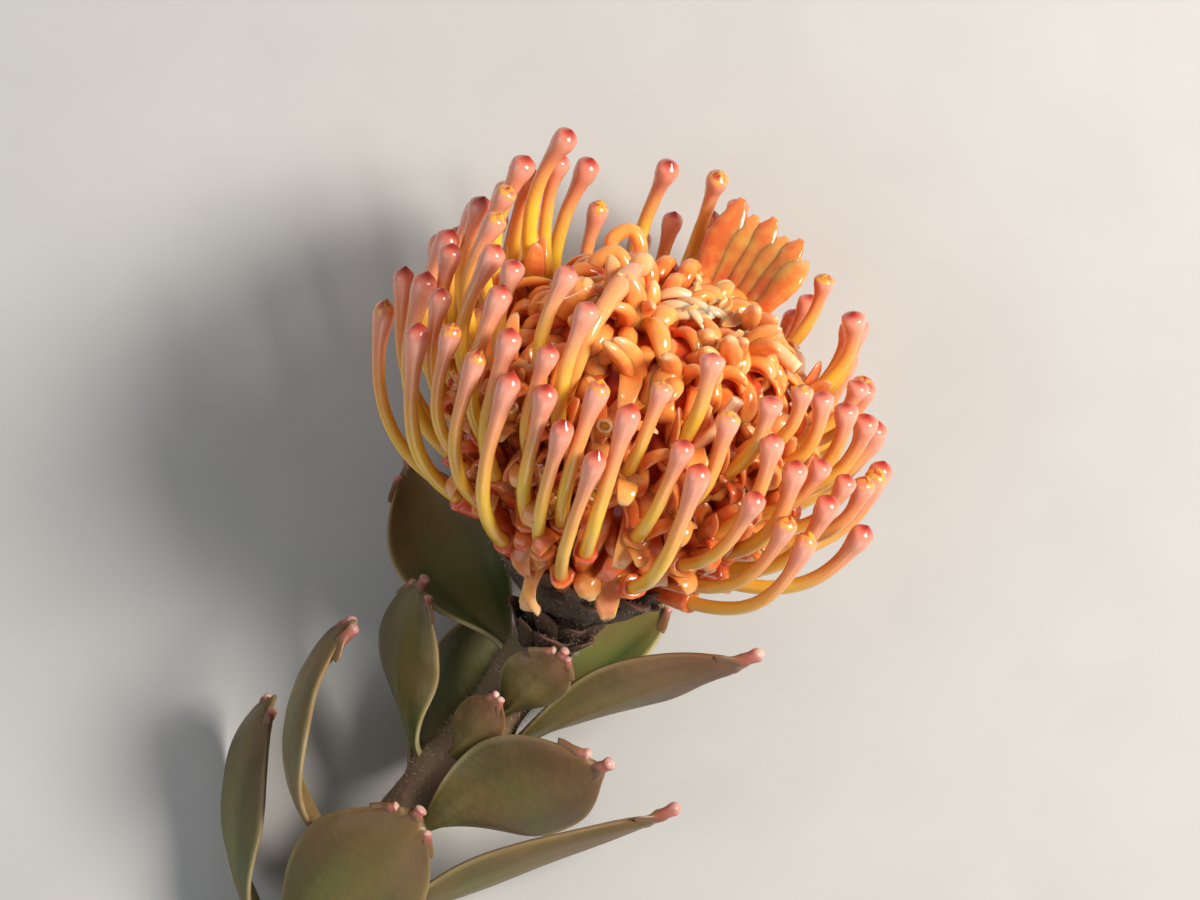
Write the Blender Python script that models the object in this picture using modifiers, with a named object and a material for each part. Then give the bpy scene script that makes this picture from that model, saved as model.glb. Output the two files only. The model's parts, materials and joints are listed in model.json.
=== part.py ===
"""A cut pincushion protea flower, lying on its side on a table.

The flower is modelled upright in its own frame: the origin is where the head sits on the stem,
+Z runs up the head to its crown, -Y is its front and +X is to the right of someone facing it.
An empty then lays the whole flower on its back, with the stem along -Y and the head at +Y.
"""

import math

import bmesh
import bpy
from mathutils import Euler, Matrix, Vector

MM = 0.001

# How the flower lies: where the head meets the stem, and how far the head is turned from upright.
# It rests on one outer style and on the edges of two leaves.
HEAD_BASE_AT = Vector((1.735, 14.162, 22.819)) * MM
HEAD_TURN = Euler((math.radians(-68.38), math.radians(0.50), 0.0), "XYZ")

# The head.
FLORETS = 98
SEPARATE_FLORETS = 43
GOLDEN_ANGLE = math.radians(137.508)
# Where the ring of styles parts, in degrees round the head, and how far it pushes its neighbours.
GAPS_AT = (205.0, 138.0, 18.0)
GAP_PUSH = math.radians(8.0)
GAP_REACH = math.radians(14.0)
SURFACE_GAP = 0.3 * MM

# The packed floret tubes round the receptacle: radius and height, from the crown down.
MOUND_PROFILE = [
    (0.0, 45.8), (7.0, 46.4), (12.5, 45.2), (16.4, 41.4), (18.6, 35.0), (18.9, 27.0),
    (17.3, 19.0), (14.0, 12.4), (10.9, 7.6), (8.0, 3.9), (4.0, 1.7), (0.0, 1.7),
]
# The cup of bracts under it: the outer wall up, then the inner wall down.
CUP_PROFILE = [
    (0.0, 1.3), (4.1, 1.3), (8.6, 3.5), (11.9, 7.3), (12.9, 7.0), (9.6, 2.4), (5.2, 0.0), (0.0, 0.0),
]

# A floret's style, at the outermost floret and at the innermost one.
BASE_HEIGHT = (8.6 * MM, 34.0 * MM)
LAUNCH_ANGLE = (math.radians(2.0), math.radians(62.0))
TIP_RADIUS = (35.4 * MM, 23.5 * MM)
TIP_HEIGHT = (31.0 * MM, 53.0 * MM)
TIP_ANGLE = (math.radians(84.0), math.radians(104.0))
# The styles stand taller on one side of the head.
TALL_SIDE_AT = math.radians(245.0)
TALL_SIDE_LIFT = 4.2 * MM
# At the front they set out more steeply and stand closer in and taller, the outermost ones most.
FRONT_AT = math.radians(-2.0)
FRONT_SPREAD = 1.8
FRONT_LAUNCH = math.radians(32.0)
FRONT_IN = 7.5 * MM
FRONT_UP = 9.5 * MM
FRONT_GAP = 0.6 * MM
# Florets whose styles have snapped off, and those that lean aside to let a neighbour past.
SNAPPED = (47, 55, 68, 71, 73, 89)
LEANING = {13: math.radians(-3.0), 39: math.radians(-3.0)}
HANDLE_SHARE = 0.46
STYLE_RADIUS = 1.0 * MM
# How much one floret may differ from its neighbours.
AZIMUTH_SWAY = math.radians(1.2)
TWIST_SWAY = math.radians(1.4)
TIP_ANGLE_SWAY = math.radians(9.0)
TIP_RADIUS_SWAY = 1.2 * MM
TIP_HEIGHT_SWAY = 2.0 * MM
# Where along the style each ring stands, and its radius as a share of STYLE_RADIUS.
STYLE_RINGS = [
    (0.0, 1.05), (0.17, 1.0), (0.34, 1.0), (0.51, 0.98), (0.68, 0.92),
    (0.81, 0.95), (0.89, 1.35), (0.95, 1.68), (0.985, 1.35), (1.0, 0.45),
]

# The stem, which curves towards -X and -Y on its way down.
STEM_LENGTH = 90.0
STEM_STEPS = 12
STEM_RADIUS = 3.6 * MM
# It is thicker by this share under the head, and that fades over this many millimetres.
STEM_TOP_SWELL = 0.25
STEM_SWELL_FADE = 6.0
# It starts straight under the head over this many millimetres, with a gap to the head.
STEM_STRAIGHT = 5.0
STEM_TOP_GAP = 0.8
# For each millimetre down it leans and curves this far towards -X and -Y.
STEM_LEAN = (0.32, 0.10)
STEM_CURVE = (0.0006, 0.0007)
STEM_DROP = 0.965

# The leaves.
LEAF_THICKNESS = 0.9 * MM
LEAF_ROWS = 8
LEAF_COLUMNS = 6
LEAF_BASE_SHARE = 0.24
LEAF_TIP_SHARE = 0.36
LEAF_CUP = 0.22
LEAF_BEND_STEPS = 12
# The share of its length by which a leaf has made its whole turn.
TURNED_BY = 0.5
# The toothed tip, in shares of the leaf's length and half-width: how much shorter the edge is than
# the middle, and how deep, how far out and how wide the notch beside the middle tooth is.
EDGE_DROP = 0.10
NOTCH_DEPTH = 0.04
NOTCH_AT = 0.36
NOTCH_WIDTH = 0.13


class Leaf:
    """One leaf: where it leaves the stem, how far it stands off, and its size."""

    def __init__(self, down, around, length, width, spread, bend, turn=0.0):
        """Takes millimetres and degrees.

        down is how far below the head it leaves the stem, around is the way it faces, from the
        front towards the right, spread is its angle to the stem, bend how much that angle changes
        by the tip, and turn how far the blade rolls about its own length.
        """
        self.down = down
        self.around = math.radians(around)
        self.length = length * MM
        self.width = width * MM
        self.spread = math.radians(spread)
        self.bend = math.radians(bend)
        self.turn = math.radians(turn)


LEAVES = [
    Leaf(down=12, around=240, length=29, width=15, spread=84, bend=-20, turn=-50),
    Leaf(down=18, around=148, length=27, width=13, spread=50, bend=-8),
    Leaf(down=16, around=4, length=14, width=9, spread=26, bend=-10),
    Leaf(down=22, around=80, length=36, width=13, spread=20, bend=16, turn=-40),
    Leaf(down=30, around=272, length=25, width=13, spread=60, bend=-50, turn=44),
    Leaf(down=25, around=345, length=12, width=7, spread=24, bend=-8),
    Leaf(down=35, around=200, length=26, width=14, spread=34, bend=-10),
    Leaf(down=36, around=44, length=30, width=17, spread=30, bend=0, turn=-40),
    Leaf(down=48, around=286, length=40, width=13, spread=80, bend=-94),
    Leaf(down=60, around=88, length=52, width=12, spread=20, bend=10, turn=-30),
    Leaf(down=61, around=352, length=32, width=19, spread=28, bend=-22),
    Leaf(down=64, around=262, length=35, width=17, spread=72, bend=-72, turn=34),
    Leaf(down=72, around=72, length=28, width=13, spread=38, bend=-6),
]


def clear_scene():
    """Removes every object of the startup scene."""
    for obj in list(bpy.data.objects):
        bpy.data.objects.remove(obj)


def new_collection(name):
    """Makes a collection in the scene."""
    collection = bpy.data.collections.new(name)
    bpy.context.scene.collection.children.link(collection)
    return collection


def material(name, colour, roughness):
    """Makes a plain Principled material."""
    made = bpy.data.materials.new(name)
    made.use_nodes = True
    shader = made.node_tree.nodes["Principled BSDF"]
    shader.inputs["Base Color"].default_value = (*colour, 1.0)
    shader.inputs["Roughness"].default_value = roughness
    return made


def place(obj, collection, parent, finish):
    """Puts an object in its collection, under the laid-down frame, with its material."""
    collection.objects.link(obj)
    obj.parent = parent
    obj.data.materials.append(finish)
    return obj


def smooth(mesh, angle=60.0):
    """Shades a mesh smooth, with sharp edges where its faces turn by more than the angle."""
    mesh.shade_smooth()
    mesh.set_sharp_from_angle(angle=math.radians(angle))


def sway(number, trait):
    """A steady value from -1 to 1 for one floret and one of its traits."""
    return math.sin(number * 12.9898 + trait * 78.233)


def between(ends, share):
    """The value at this share of the way from the first end to the last."""
    return ends[0] + (ends[1] - ends[0]) * share


def mound_radius(height):
    """The mound's radius at a height above the head's base."""
    points = [(r * MM, h * MM) for r, h in MOUND_PROFILE]
    for (r_high, h_high), (r_low, h_low) in zip(points, points[1:]):
        if h_low <= height <= h_high and h_high > h_low:
            return between((r_low, r_high), (height - h_low) / (h_high - h_low))
    return points[-2][0]


def floret_azimuth(number):
    """The angle round the head of one floret, pushed away from the gaps in the ring."""
    even = number * GOLDEN_ANGLE
    push = 0.0
    for gap in GAPS_AT:
        apart = math.remainder(even - math.radians(gap), math.tau) / GAP_REACH
        push += GAP_PUSH * apart * math.exp(0.5 - apart**2 / 2)
    return even + push + AZIMUTH_SWAY * sway(number, 1) + LEANING.get(number, 0.0)


def floret_point(number, share):
    """A point on a floret's style, at a share of the way along its curve."""
    rank = number / (FLORETS - 1)
    azimuth = floret_azimuth(number)
    front = (1.0 - rank) * max(0.0, math.cos(azimuth - FRONT_AT)) ** FRONT_SPREAD
    height = between(BASE_HEIGHT, rank)
    launch = between(LAUNCH_ANGLE, rank) + FRONT_LAUNCH * front
    tip_angle = between(TIP_ANGLE, rank) + TIP_ANGLE_SWAY * sway(number, 2)
    out = Vector((math.cos(launch), math.sin(launch)))
    gap = SURFACE_GAP + FRONT_GAP * front
    start = Vector((mound_radius(height) + gap, height)) + out * STYLE_RADIUS
    lift = TALL_SIDE_LIFT * math.cos(azimuth - TALL_SIDE_AT) + FRONT_UP * front
    tip = Vector((
        between(TIP_RADIUS, rank) + TIP_RADIUS_SWAY * sway(number, 3) - FRONT_IN * front,
        between(TIP_HEIGHT, rank) + TIP_HEIGHT_SWAY * sway(number, 4) + lift,
    ))
    handle = HANDLE_SHARE * (tip - start).length
    first = start + out * handle
    last = tip - Vector((math.cos(tip_angle), math.sin(tip_angle))) * handle
    rest = 1.0 - share
    flat = (
        start * rest**3 + first * 3 * rest**2 * share + last * 3 * rest * share**2 + tip * share**3
    )
    turn = azimuth + TWIST_SWAY * sway(number, 5) * share**2
    return Vector((flat.x * math.sin(turn), -flat.x * math.cos(turn), flat.y))


def tube_object(name, points, radii, sides_step=1):
    """A round rod through the points, as a curve with filled caps."""
    curve = bpy.data.curves.new(name, "CURVE")
    curve.dimensions = "3D"
    curve.bevel_depth = 1.0
    curve.bevel_resolution = sides_step
    curve.use_fill_caps = True
    spline = curve.splines.new("POLY")
    spline.points.add(len(points) - 1)
    for knot, point, radius in zip(spline.points, points, radii):
        knot.co = (*point, 1.0)
        knot.radius = radius
    spline.use_smooth = True
    return bpy.data.objects.new(name, curve)


def style_object(name, number):
    """One floret's style with the club at its tip."""
    points = [floret_point(number, share) for share, _ in STYLE_RINGS]
    radii = [STYLE_RADIUS * radius for _, radius in STYLE_RINGS]
    return tube_object(name, points, radii)


def turned_mesh(name, profile, steps):
    """A turned body from its profile, which runs down the outer side from the top."""
    mesh = bpy.data.meshes.new(name)
    shape = bmesh.new()
    knots = [shape.verts.new((r * MM, 0.0, h * MM)) for r, h in profile]
    for knot, following in zip(knots, knots[1:]):
        shape.edges.new((knot, following))
    shape.to_mesh(mesh)
    shape.free()
    obj = bpy.data.objects.new(name, mesh)
    screw = obj.modifiers.new("Turn", "SCREW")
    screw.steps = steps
    screw.render_steps = steps
    screw.use_merge_vertices = True
    screw.merge_threshold = 0.00005
    screw.use_smooth_shade = True
    return obj


def as_mesh(obj):
    """Turns a curve object into a mesh object whose caps are joined to its sides."""
    bpy.context.view_layer.update()
    evaluated = obj.evaluated_get(bpy.context.evaluated_depsgraph_get())
    mesh = bpy.data.meshes.new_from_object(evaluated)
    shape = bmesh.new()
    shape.from_mesh(mesh)
    bmesh.ops.remove_doubles(shape, verts=shape.verts, dist=0.00001)
    bmesh.ops.recalc_face_normals(shape, faces=shape.faces)
    shape.to_mesh(mesh)
    shape.free()
    name = obj.name
    made = bpy.data.objects.new(name + "_solid", mesh)
    made.matrix_world = obj.matrix_world
    bpy.data.objects.remove(obj)
    made.name = name
    return made


def make_mound(parts, cutters, flower, finish):
    """The packed floret tubes, with the inner florets' styles growing out of them."""
    mound = place(turned_mesh("floret_mound", MOUND_PROFILE, 24), parts, flower, finish)
    inner = bpy.data.collections.new("inner_styles")
    cutters.children.link(inner)
    for number in range(SEPARATE_FLORETS, FLORETS):
        if number in SNAPPED:
            continue
        style = style_object(f"inner_style_{number:02d}", number)
        inner.objects.link(style)
        root = floret_point(number, 0.0)
        inward = (floret_point(number, 0.02) - root).normalized() * -3.0 * MM
        style.data.splines[0].points[0].co = (*(root + inward), 1.0)
        style = as_mesh(style)
        inner.objects.link(style)
        style.parent = flower
        style.hide_render = True
        style.display_type = "WIRE"
    join = mound.modifiers.new("Inner styles", "BOOLEAN")
    join.operation = "UNION"
    join.operand_type = "COLLECTION"
    join.collection = inner
    join.solver = "EXACT"


def make_styles(parts, flower, finish):
    """The outer florets' styles, each one its own piece."""
    for number in range(SEPARATE_FLORETS):
        place(style_object(f"style_{number + 1:02d}", number), parts, flower, finish)


def make_cup(parts, flower, finish):
    """The cup of small bracts that the head sits in."""
    place(turned_mesh("bract_cup", CUP_PROFILE, 24), parts, flower, finish)


def stem_point(down):
    """The stem's middle, this many millimetres below the head."""
    leaning = down - STEM_STRAIGHT * (1.0 - math.exp(-down / STEM_STRAIGHT))
    aside, forward = (lean * leaning + curve * down**2 for lean, curve in zip(STEM_LEAN, STEM_CURVE))
    return Vector((-aside, -forward, -STEM_DROP * down - STEM_TOP_GAP)) * MM


def stem_radius(down):
    """The stem's radius, which swells under the head."""
    return STEM_RADIUS * (1.0 + STEM_TOP_SWELL * math.exp(-down / STEM_SWELL_FADE))


def make_stem(parts, flower, finish):
    """The cut stem."""
    downs = [STEM_LENGTH * step / STEM_STEPS for step in range(STEM_STEPS + 1)]
    points = [stem_point(down) for down in downs]
    radii = [stem_radius(down) for down in downs]
    place(tube_object("stem", points, radii, sides_step=3), parts, flower, finish)


def leaf_frame(leaf):
    """Where a leaf leaves the stem, with the stem's direction and the way the leaf stands off."""
    along = (stem_point(leaf.down - 1.0) - stem_point(leaf.down + 1.0)).normalized()
    aim = Vector((math.sin(leaf.around), -math.cos(leaf.around), 0.0))
    off = (aim - along * aim.dot(along)).normalized()
    return stem_point(leaf.down), along, off


def leaf_shape_share(share):
    """A leaf's half-width at a share of its length, as a share of the widest."""
    plain = between((LEAF_BASE_SHARE, LEAF_TIP_SHARE), share)
    return plain + (1.0 - (LEAF_BASE_SHARE + LEAF_TIP_SHARE) / 2) * math.sin(math.pi * share)


def leaf_length_share(across):
    """How far up the leaf its edge reaches at a place across it, which makes three teeth."""
    drop = EDGE_DROP * abs(across) ** 1.5
    notch = NOTCH_DEPTH * math.exp(-(((abs(across) - NOTCH_AT) / NOTCH_WIDTH) ** 2))
    return 1.0 - drop - notch


def leaf_point(leaf, share, across):
    """A point on a leaf's blade: share runs up it and across goes from -1 to 1 over it."""
    root, along, off = leaf_frame(leaf)
    grown = share * between((1.0, leaf_length_share(across)), share**3)
    place_at = root + off * (stem_radius(leaf.down) + SURFACE_GAP + LEAF_THICKNESS)
    angle = leaf.spread
    stride = leaf.length * grown / LEAF_BEND_STEPS
    for step in range(LEAF_BEND_STEPS):
        angle = leaf.spread + leaf.bend * grown * (step + 0.5) / LEAF_BEND_STEPS
        place_at += (along * math.cos(angle) + off * math.sin(angle)) * stride
    side = along.cross(off)
    face = along * math.sin(angle) - off * math.cos(angle)
    turn = leaf.turn * math.sin(min(1.0, share / TURNED_BY) * math.pi / 2)
    side, face = (
        side * math.cos(turn) + face * math.sin(turn),
        face * math.cos(turn) - side * math.sin(turn),
    )
    half = leaf.width / 2 * leaf_shape_share(share)
    return place_at + side * across * half + face * LEAF_CUP * half * across**2


def make_leaf(name, leaf, parts, flower, finish):
    """One leaf: a flat grid bent to the blade's shape, with its thickness."""
    bpy.ops.mesh.primitive_grid_add(x_subdivisions=LEAF_COLUMNS, y_subdivisions=LEAF_ROWS, size=2.0)
    obj = bpy.context.object
    for collection in list(obj.users_collection):
        collection.objects.unlink(obj)
    obj.name = name
    for vertex in obj.data.vertices:
        across, share = vertex.co.x, (vertex.co.y + 1.0) / 2.0
        vertex.co = leaf_point(leaf, share, across)
    solidify = obj.modifiers.new("Thickness", "SOLIDIFY")
    solidify.thickness = LEAF_THICKNESS
    solidify.offset = 0.0
    smooth(obj.data)
    place(obj, parts, flower, finish)


def main():
    """Builds the flower."""
    clear_scene()
    parts = new_collection("Pincushion protea")
    cutters = new_collection("Joined shapes")
    flower = bpy.data.objects.new("lying_flower", None)
    flower.location = HEAD_BASE_AT
    flower.rotation_euler = HEAD_TURN
    parts.objects.link(flower)
    petal = material("floret", (0.86, 0.36, 0.10), 0.35)
    mass = material("mound", (0.80, 0.28, 0.12), 0.40)
    bract = material("bract", (0.16, 0.10, 0.06), 0.80)
    bark = material("stem", (0.28, 0.20, 0.13), 0.75)
    green = material("leaf", (0.13, 0.16, 0.05), 0.55)
    make_mound(parts, cutters, flower, mass)
    make_styles(parts, flower, petal)
    make_cup(parts, flower, bract)
    make_stem(parts, flower, bark)
    for number, leaf in enumerate(LEAVES, start=1):
        make_leaf(f"leaf_{number:02d}", leaf, parts, flower, green)


main()
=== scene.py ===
"""A cut pincushion protea flower that lies on its back on a table.

Every piece is shaped upright, in the flower's own frame: the origin is where the head sits on the
stem, +Z runs up the head, -Y is its front and +X is to the right of someone facing it. Lengths in
that frame are millimetres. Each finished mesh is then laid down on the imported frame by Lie.
"""

import json
import logging
import math
from collections import defaultdict
from dataclasses import dataclass, field
from enum import Enum
from typing import Callable, Iterable, Sequence

import bpy
from mathutils import Euler, Matrix, Vector, noise

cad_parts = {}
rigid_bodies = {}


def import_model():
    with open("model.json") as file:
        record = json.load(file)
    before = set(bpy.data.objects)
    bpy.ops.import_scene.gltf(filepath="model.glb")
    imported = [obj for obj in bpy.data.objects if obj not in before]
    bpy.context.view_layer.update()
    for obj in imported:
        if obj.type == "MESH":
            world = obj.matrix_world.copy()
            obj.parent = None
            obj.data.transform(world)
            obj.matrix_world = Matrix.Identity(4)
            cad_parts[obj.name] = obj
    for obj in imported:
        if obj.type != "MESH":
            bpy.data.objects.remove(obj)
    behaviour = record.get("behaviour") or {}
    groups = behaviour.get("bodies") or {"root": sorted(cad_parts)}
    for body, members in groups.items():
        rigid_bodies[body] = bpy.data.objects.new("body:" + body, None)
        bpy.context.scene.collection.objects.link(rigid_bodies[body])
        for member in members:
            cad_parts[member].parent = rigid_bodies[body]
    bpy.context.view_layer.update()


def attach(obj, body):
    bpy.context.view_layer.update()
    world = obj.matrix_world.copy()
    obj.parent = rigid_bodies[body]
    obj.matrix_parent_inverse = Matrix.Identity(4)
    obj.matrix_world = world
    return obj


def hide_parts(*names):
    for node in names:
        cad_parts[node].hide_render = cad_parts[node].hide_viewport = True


MM = 0.001
UP = Vector((0.0, 0.0, 1.0))
log = logging.getLogger("protea")

Colour = tuple[float, float, float]
Ring = list[Vector]
Section = Callable[[float, float], tuple[float, float]]
Mark = float | Sequence[float] | Sequence[Sequence[float]]


class Slot(Enum):
    """The record's material slots."""

    STYLE = "style"
    PERIANTH = "perianth"
    BRACT = "bract"
    STEM = "stem"
    LEAF = "leaf"


def between(ends: Sequence[float], share: float) -> float:
    """The value at this share of the way from the first end to the last."""
    return ends[0] + (ends[1] - ends[0]) * share


def ease(low: float, high: float, value: float) -> float:
    """A smooth step from 0 at low to 1 at high."""
    share = min(1.0, max(0.0, (value - low) / (high - low)))
    return share * share * (3.0 - 2.0 * share)


def sway(number: float, trait: float) -> float:
    """A steady value from -1 to 1 for one floret and one of its traits."""
    return math.sin(number * 12.9898 + trait * 78.233)


def tone(red: int, green: int, blue: int) -> Colour:
    """The colour that a screen shows for these three values out of 255."""
    shown = [value / 255 for value in (red, green, blue)]
    return tuple(v / 12.92 if v <= 0.04045 else ((v + 0.055) / 1.055) ** 2.4 for v in shown)


def around(azimuth: float) -> Vector:
    """The level direction at this angle round the head, from the front towards the right."""
    return Vector((math.sin(azimuth), -math.cos(azimuth), 0.0))


# ---------------------------------------------------------------------------------------------
# Meshes and node trees
# ---------------------------------------------------------------------------------------------


class Graph:
    """Writes the nodes of one tree."""

    def __init__(self, tree: bpy.types.NodeTree) -> None:
        """Starts on an empty tree.

        Args:
            tree: the tree to write, whose nodes are removed.
        """
        self.tree = tree
        tree.nodes.clear()

    def add(self, kind: str, inputs: dict | None = None, **settings: object) -> bpy.types.Node:
        """Adds a node, sets it up and wires it.

        Args:
            kind: the node's class name.
            inputs: a value or another node's output for each input, by name or place.
            settings: the node's own properties.

        Returns:
            The new node.
        """
        node = self.tree.nodes.new(kind)
        for name, value in settings.items():
            setattr(node, name, value)
        for key, value in (inputs or {}).items():
            if isinstance(value, bpy.types.NodeSocket):
                self.tree.links.new(value, node.inputs[key])
            else:
                node.inputs[key].default_value = value
        return node

    def math(self, operation: str, *values: object) -> bpy.types.NodeSocket:
        """Adds a Math node and returns its result."""
        node = self.add("ShaderNodeMath", dict(enumerate(values)), operation=operation)
        return node.outputs[0]

    def vector(self, operation: str, *values: object) -> bpy.types.NodeSocket:
        """Adds a Vector Math node and returns its result."""
        inputs = dict(enumerate(values))
        if operation == "SCALE":
            inputs = {"Vector": values[0], "Scale": values[1]}
        return self.add("ShaderNodeVectorMath", inputs, operation=operation).outputs[0]


class GeometryTree(Graph):
    """A Geometry Nodes tree with named inputs, ready to go on objects as a modifier."""

    def __init__(self, name: str, inputs: dict[str, tuple[str, object]]) -> None:
        """Makes the tree and its sockets.

        Args:
            name: the tree's name.
            inputs: each input's socket type and default value, or None for a default.
        """
        super().__init__(bpy.data.node_groups.new(name, "GeometryNodeTree"))
        face = self.tree.interface
        face.new_socket("Geometry", in_out="INPUT", socket_type="NodeSocketGeometry")
        self.sockets: dict[str, str] = {}
        for label, (kind, default) in inputs.items():
            socket = face.new_socket(label, in_out="INPUT", socket_type=kind)
            if default is not None:
                socket.default_value = default
            self.sockets[label] = socket.identifier
        face.new_socket("Geometry", in_out="OUTPUT", socket_type="NodeSocketGeometry")
        self.start = self.add("NodeGroupInput").outputs

    def named(self, name: str, kind: str = "FLOAT") -> bpy.types.NodeSocket:
        """Adds a node that reads an attribute and returns its value."""
        node = self.add("GeometryNodeInputNamedAttribute", {"Name": name}, data_type=kind)
        return node.outputs[0]

    def roughen(self, geometry: bpy.types.NodeSocket) -> bpy.types.NodeSocket:
        """Moves a surface by a soft noise, as high as the tree's Unevenness and as fine as its Fineness."""
        at = self.add("GeometryNodeInputPosition").outputs[0]
        pattern = self.add(
            "ShaderNodeTexNoise", {"Vector": at, "Scale": self.start["Fineness"], "Detail": 1.0}
        )
        centred = self.vector("SUBTRACT", pattern.outputs["Color"], (0.5, 0.5, 0.5))
        offset = self.vector("SCALE", centred, self.start["Unevenness"])
        return self.add("GeometryNodeSetPosition", {"Geometry": geometry, "Offset": offset}).outputs[0]

    def finish(self, geometry: bpy.types.NodeSocket) -> None:
        """Ends the tree in smooth shading, real geometry and the material input."""
        smooth = self.add("GeometryNodeSetShadeSmooth", {"Geometry": geometry})
        real = self.add("GeometryNodeRealizeInstances", {0: smooth.outputs[0]})
        dressed = self.add(
            "GeometryNodeSetMaterial", {"Geometry": real.outputs[0], "Material": self.start["Material"]}
        )
        self.add("NodeGroupOutput", {"Geometry": dressed.outputs[0]})

    def run(self, source: bpy.types.Mesh, name: str, place: Matrix, **values: object) -> bpy.types.Object:
        """Runs the tree on a mesh and keeps the result as a plain mesh.

        Args:
            source: the mesh to work on, which is used up.
            name: the new piece's name.
            place: the matrix that takes the result to its place.
            values: a value for each input, by its name with underscores for spaces.

        Returns:
            The new piece.
        """
        carrier = show(bpy.data.objects.new(name + "_source", source))
        modifier = carrier.modifiers.new(self.tree.name, "NODES")
        modifier.node_group = self.tree
        for label, value in values.items():
            modifier[self.sockets[label.replace("_", " ")]] = value
        bpy.context.view_layer.update()
        graph = bpy.context.evaluated_depsgraph_get()
        evaluated = carrier.evaluated_get(graph)
        mesh = bpy.data.meshes.new_from_object(evaluated, preserve_all_data_layers=True, depsgraph=graph)
        bpy.data.objects.remove(carrier)
        bpy.data.meshes.remove(source)
        mesh.name = name
        mesh.transform(place)
        return show(bpy.data.objects.new(name, mesh))


def show(obj: bpy.types.Object) -> bpy.types.Object:
    """Links an object to the scene and returns it."""
    bpy.context.scene.collection.objects.link(obj)
    return obj


class Skin:
    """Gathers closed surfaces into one mesh whose points carry attributes."""

    def __init__(self) -> None:
        """Starts empty."""
        self.points: list[Vector] = []
        self.faces: list[tuple[int, ...]] = []
        self.marks: dict[str, list[float]] = defaultdict(list)

    def loft(self, rings: Sequence[Ring], **marks: Mark) -> None:
        """Adds a surface through rings, closed at both ends.

        Args:
            rings: rings of the same length, each anticlockwise as seen from the last one.
            marks: for each attribute, one value, a value for each ring, or one for each point.
        """
        first, sides = len(self.points), len(rings[0])
        for ring in rings:
            self.points += ring
        for name, mark in marks.items():
            for row in range(len(rings)):
                value = mark if isinstance(mark, (int, float)) else mark[row]
                self.marks[name] += [value] * sides if isinstance(value, (int, float)) else list(value)
        for row in range(len(rings) - 1):
            low = first + row * sides
            for side in range(sides):
                after = (side + 1) % sides
                self.faces.append((low + side, low + after, low + sides + after, low + sides + side))
        last = first + (len(rings) - 1) * sides
        self.faces.append(tuple(range(first + sides - 1, first - 1, -1)))
        self.faces.append(tuple(range(last, last + sides)))

    def mesh(self, name: str) -> bpy.types.Mesh:
        """Makes the mesh, shaded smooth."""
        made = bpy.data.meshes.new(name)
        made.from_pydata(self.points, [], self.faces)
        for mark, values in self.marks.items():
            made.attributes.new(mark, "FLOAT", "POINT").data.foreach_set("value", values)
        made.shade_smooth()
        return made

    def piece(self, name: str, place: Matrix, finish: bpy.types.Material) -> bpy.types.Object:
        """Makes the piece in its place, with its material."""
        made = self.mesh(name)
        made.transform(place)
        made.materials.append(finish)
        return show(bpy.data.objects.new(name, made))


def sweep(path: Sequence[Vector], section: Section, sides: int, up: Vector | None = None) -> list[Ring]:
    """Rings of a section carried along a path, which don't twist on the way.

    Args:
        path: the middle line.
        section: takes a share of the path and an angle, and gives how far to go across and up.
        sides: how many points a ring has.
        up: a direction that the section's up follows at the root.

    Returns:
        One ring for each point of the path.
    """
    rings = []
    across = None
    for index, point in enumerate(path):
        ahead = (path[min(len(path) - 1, index + 1)] - path[max(0, index - 1)]).normalized()
        if across is None:
            guide = up or (UP if abs(ahead.z) < 0.9 else Vector((0.0, 1.0, 0.0)))
            across = guide.cross(ahead)
        across = (across - ahead * across.dot(ahead)).normalized()
        rise = ahead.cross(across)
        share = index / (len(path) - 1)
        ring = []
        for side in range(sides):
            right, high = section(share, math.tau * side / sides)
            ring.append(point + across * right + rise * high)
        rings.append(ring)
    return rings


def curl(
    start: Vector, ahead: Vector, aside: Vector, length: float, roll: float, tighten: float, rows: int
) -> list[Vector]:
    """A line that sets out one way and bends to another, ever tighter.

    Args:
        start: its first point.
        ahead: the way it sets out.
        aside: the way it bends, square to ahead.
        length: how long it is.
        roll: the whole turn, in radians.
        tighten: 1 for an even bend, and more to keep the bend for the end.
        rows: how many points it has.

    Returns:
        The points.
    """
    points = [start.copy()]
    for step in range(rows - 1):
        angle = roll * ((step + 0.5) / (rows - 1)) ** tighten
        stride = length / (rows - 1)
        points.append(points[-1] + (ahead * math.cos(angle) + aside * math.sin(angle)) * stride)
    return points


def round_section(radius: Callable[[float], float]) -> Section:
    """A circle whose radius changes along the path."""
    return lambda share, angle: (radius(share) * math.cos(angle), radius(share) * math.sin(angle))


def rounded(share: float) -> float:
    """How wide a fleshy strap is along its length: narrower at the root and rounded at the tip."""
    return math.sqrt(math.sin(math.pi * (0.14 + 0.845 * share)))


# ---------------------------------------------------------------------------------------------
# Finishes
# ---------------------------------------------------------------------------------------------


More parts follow.
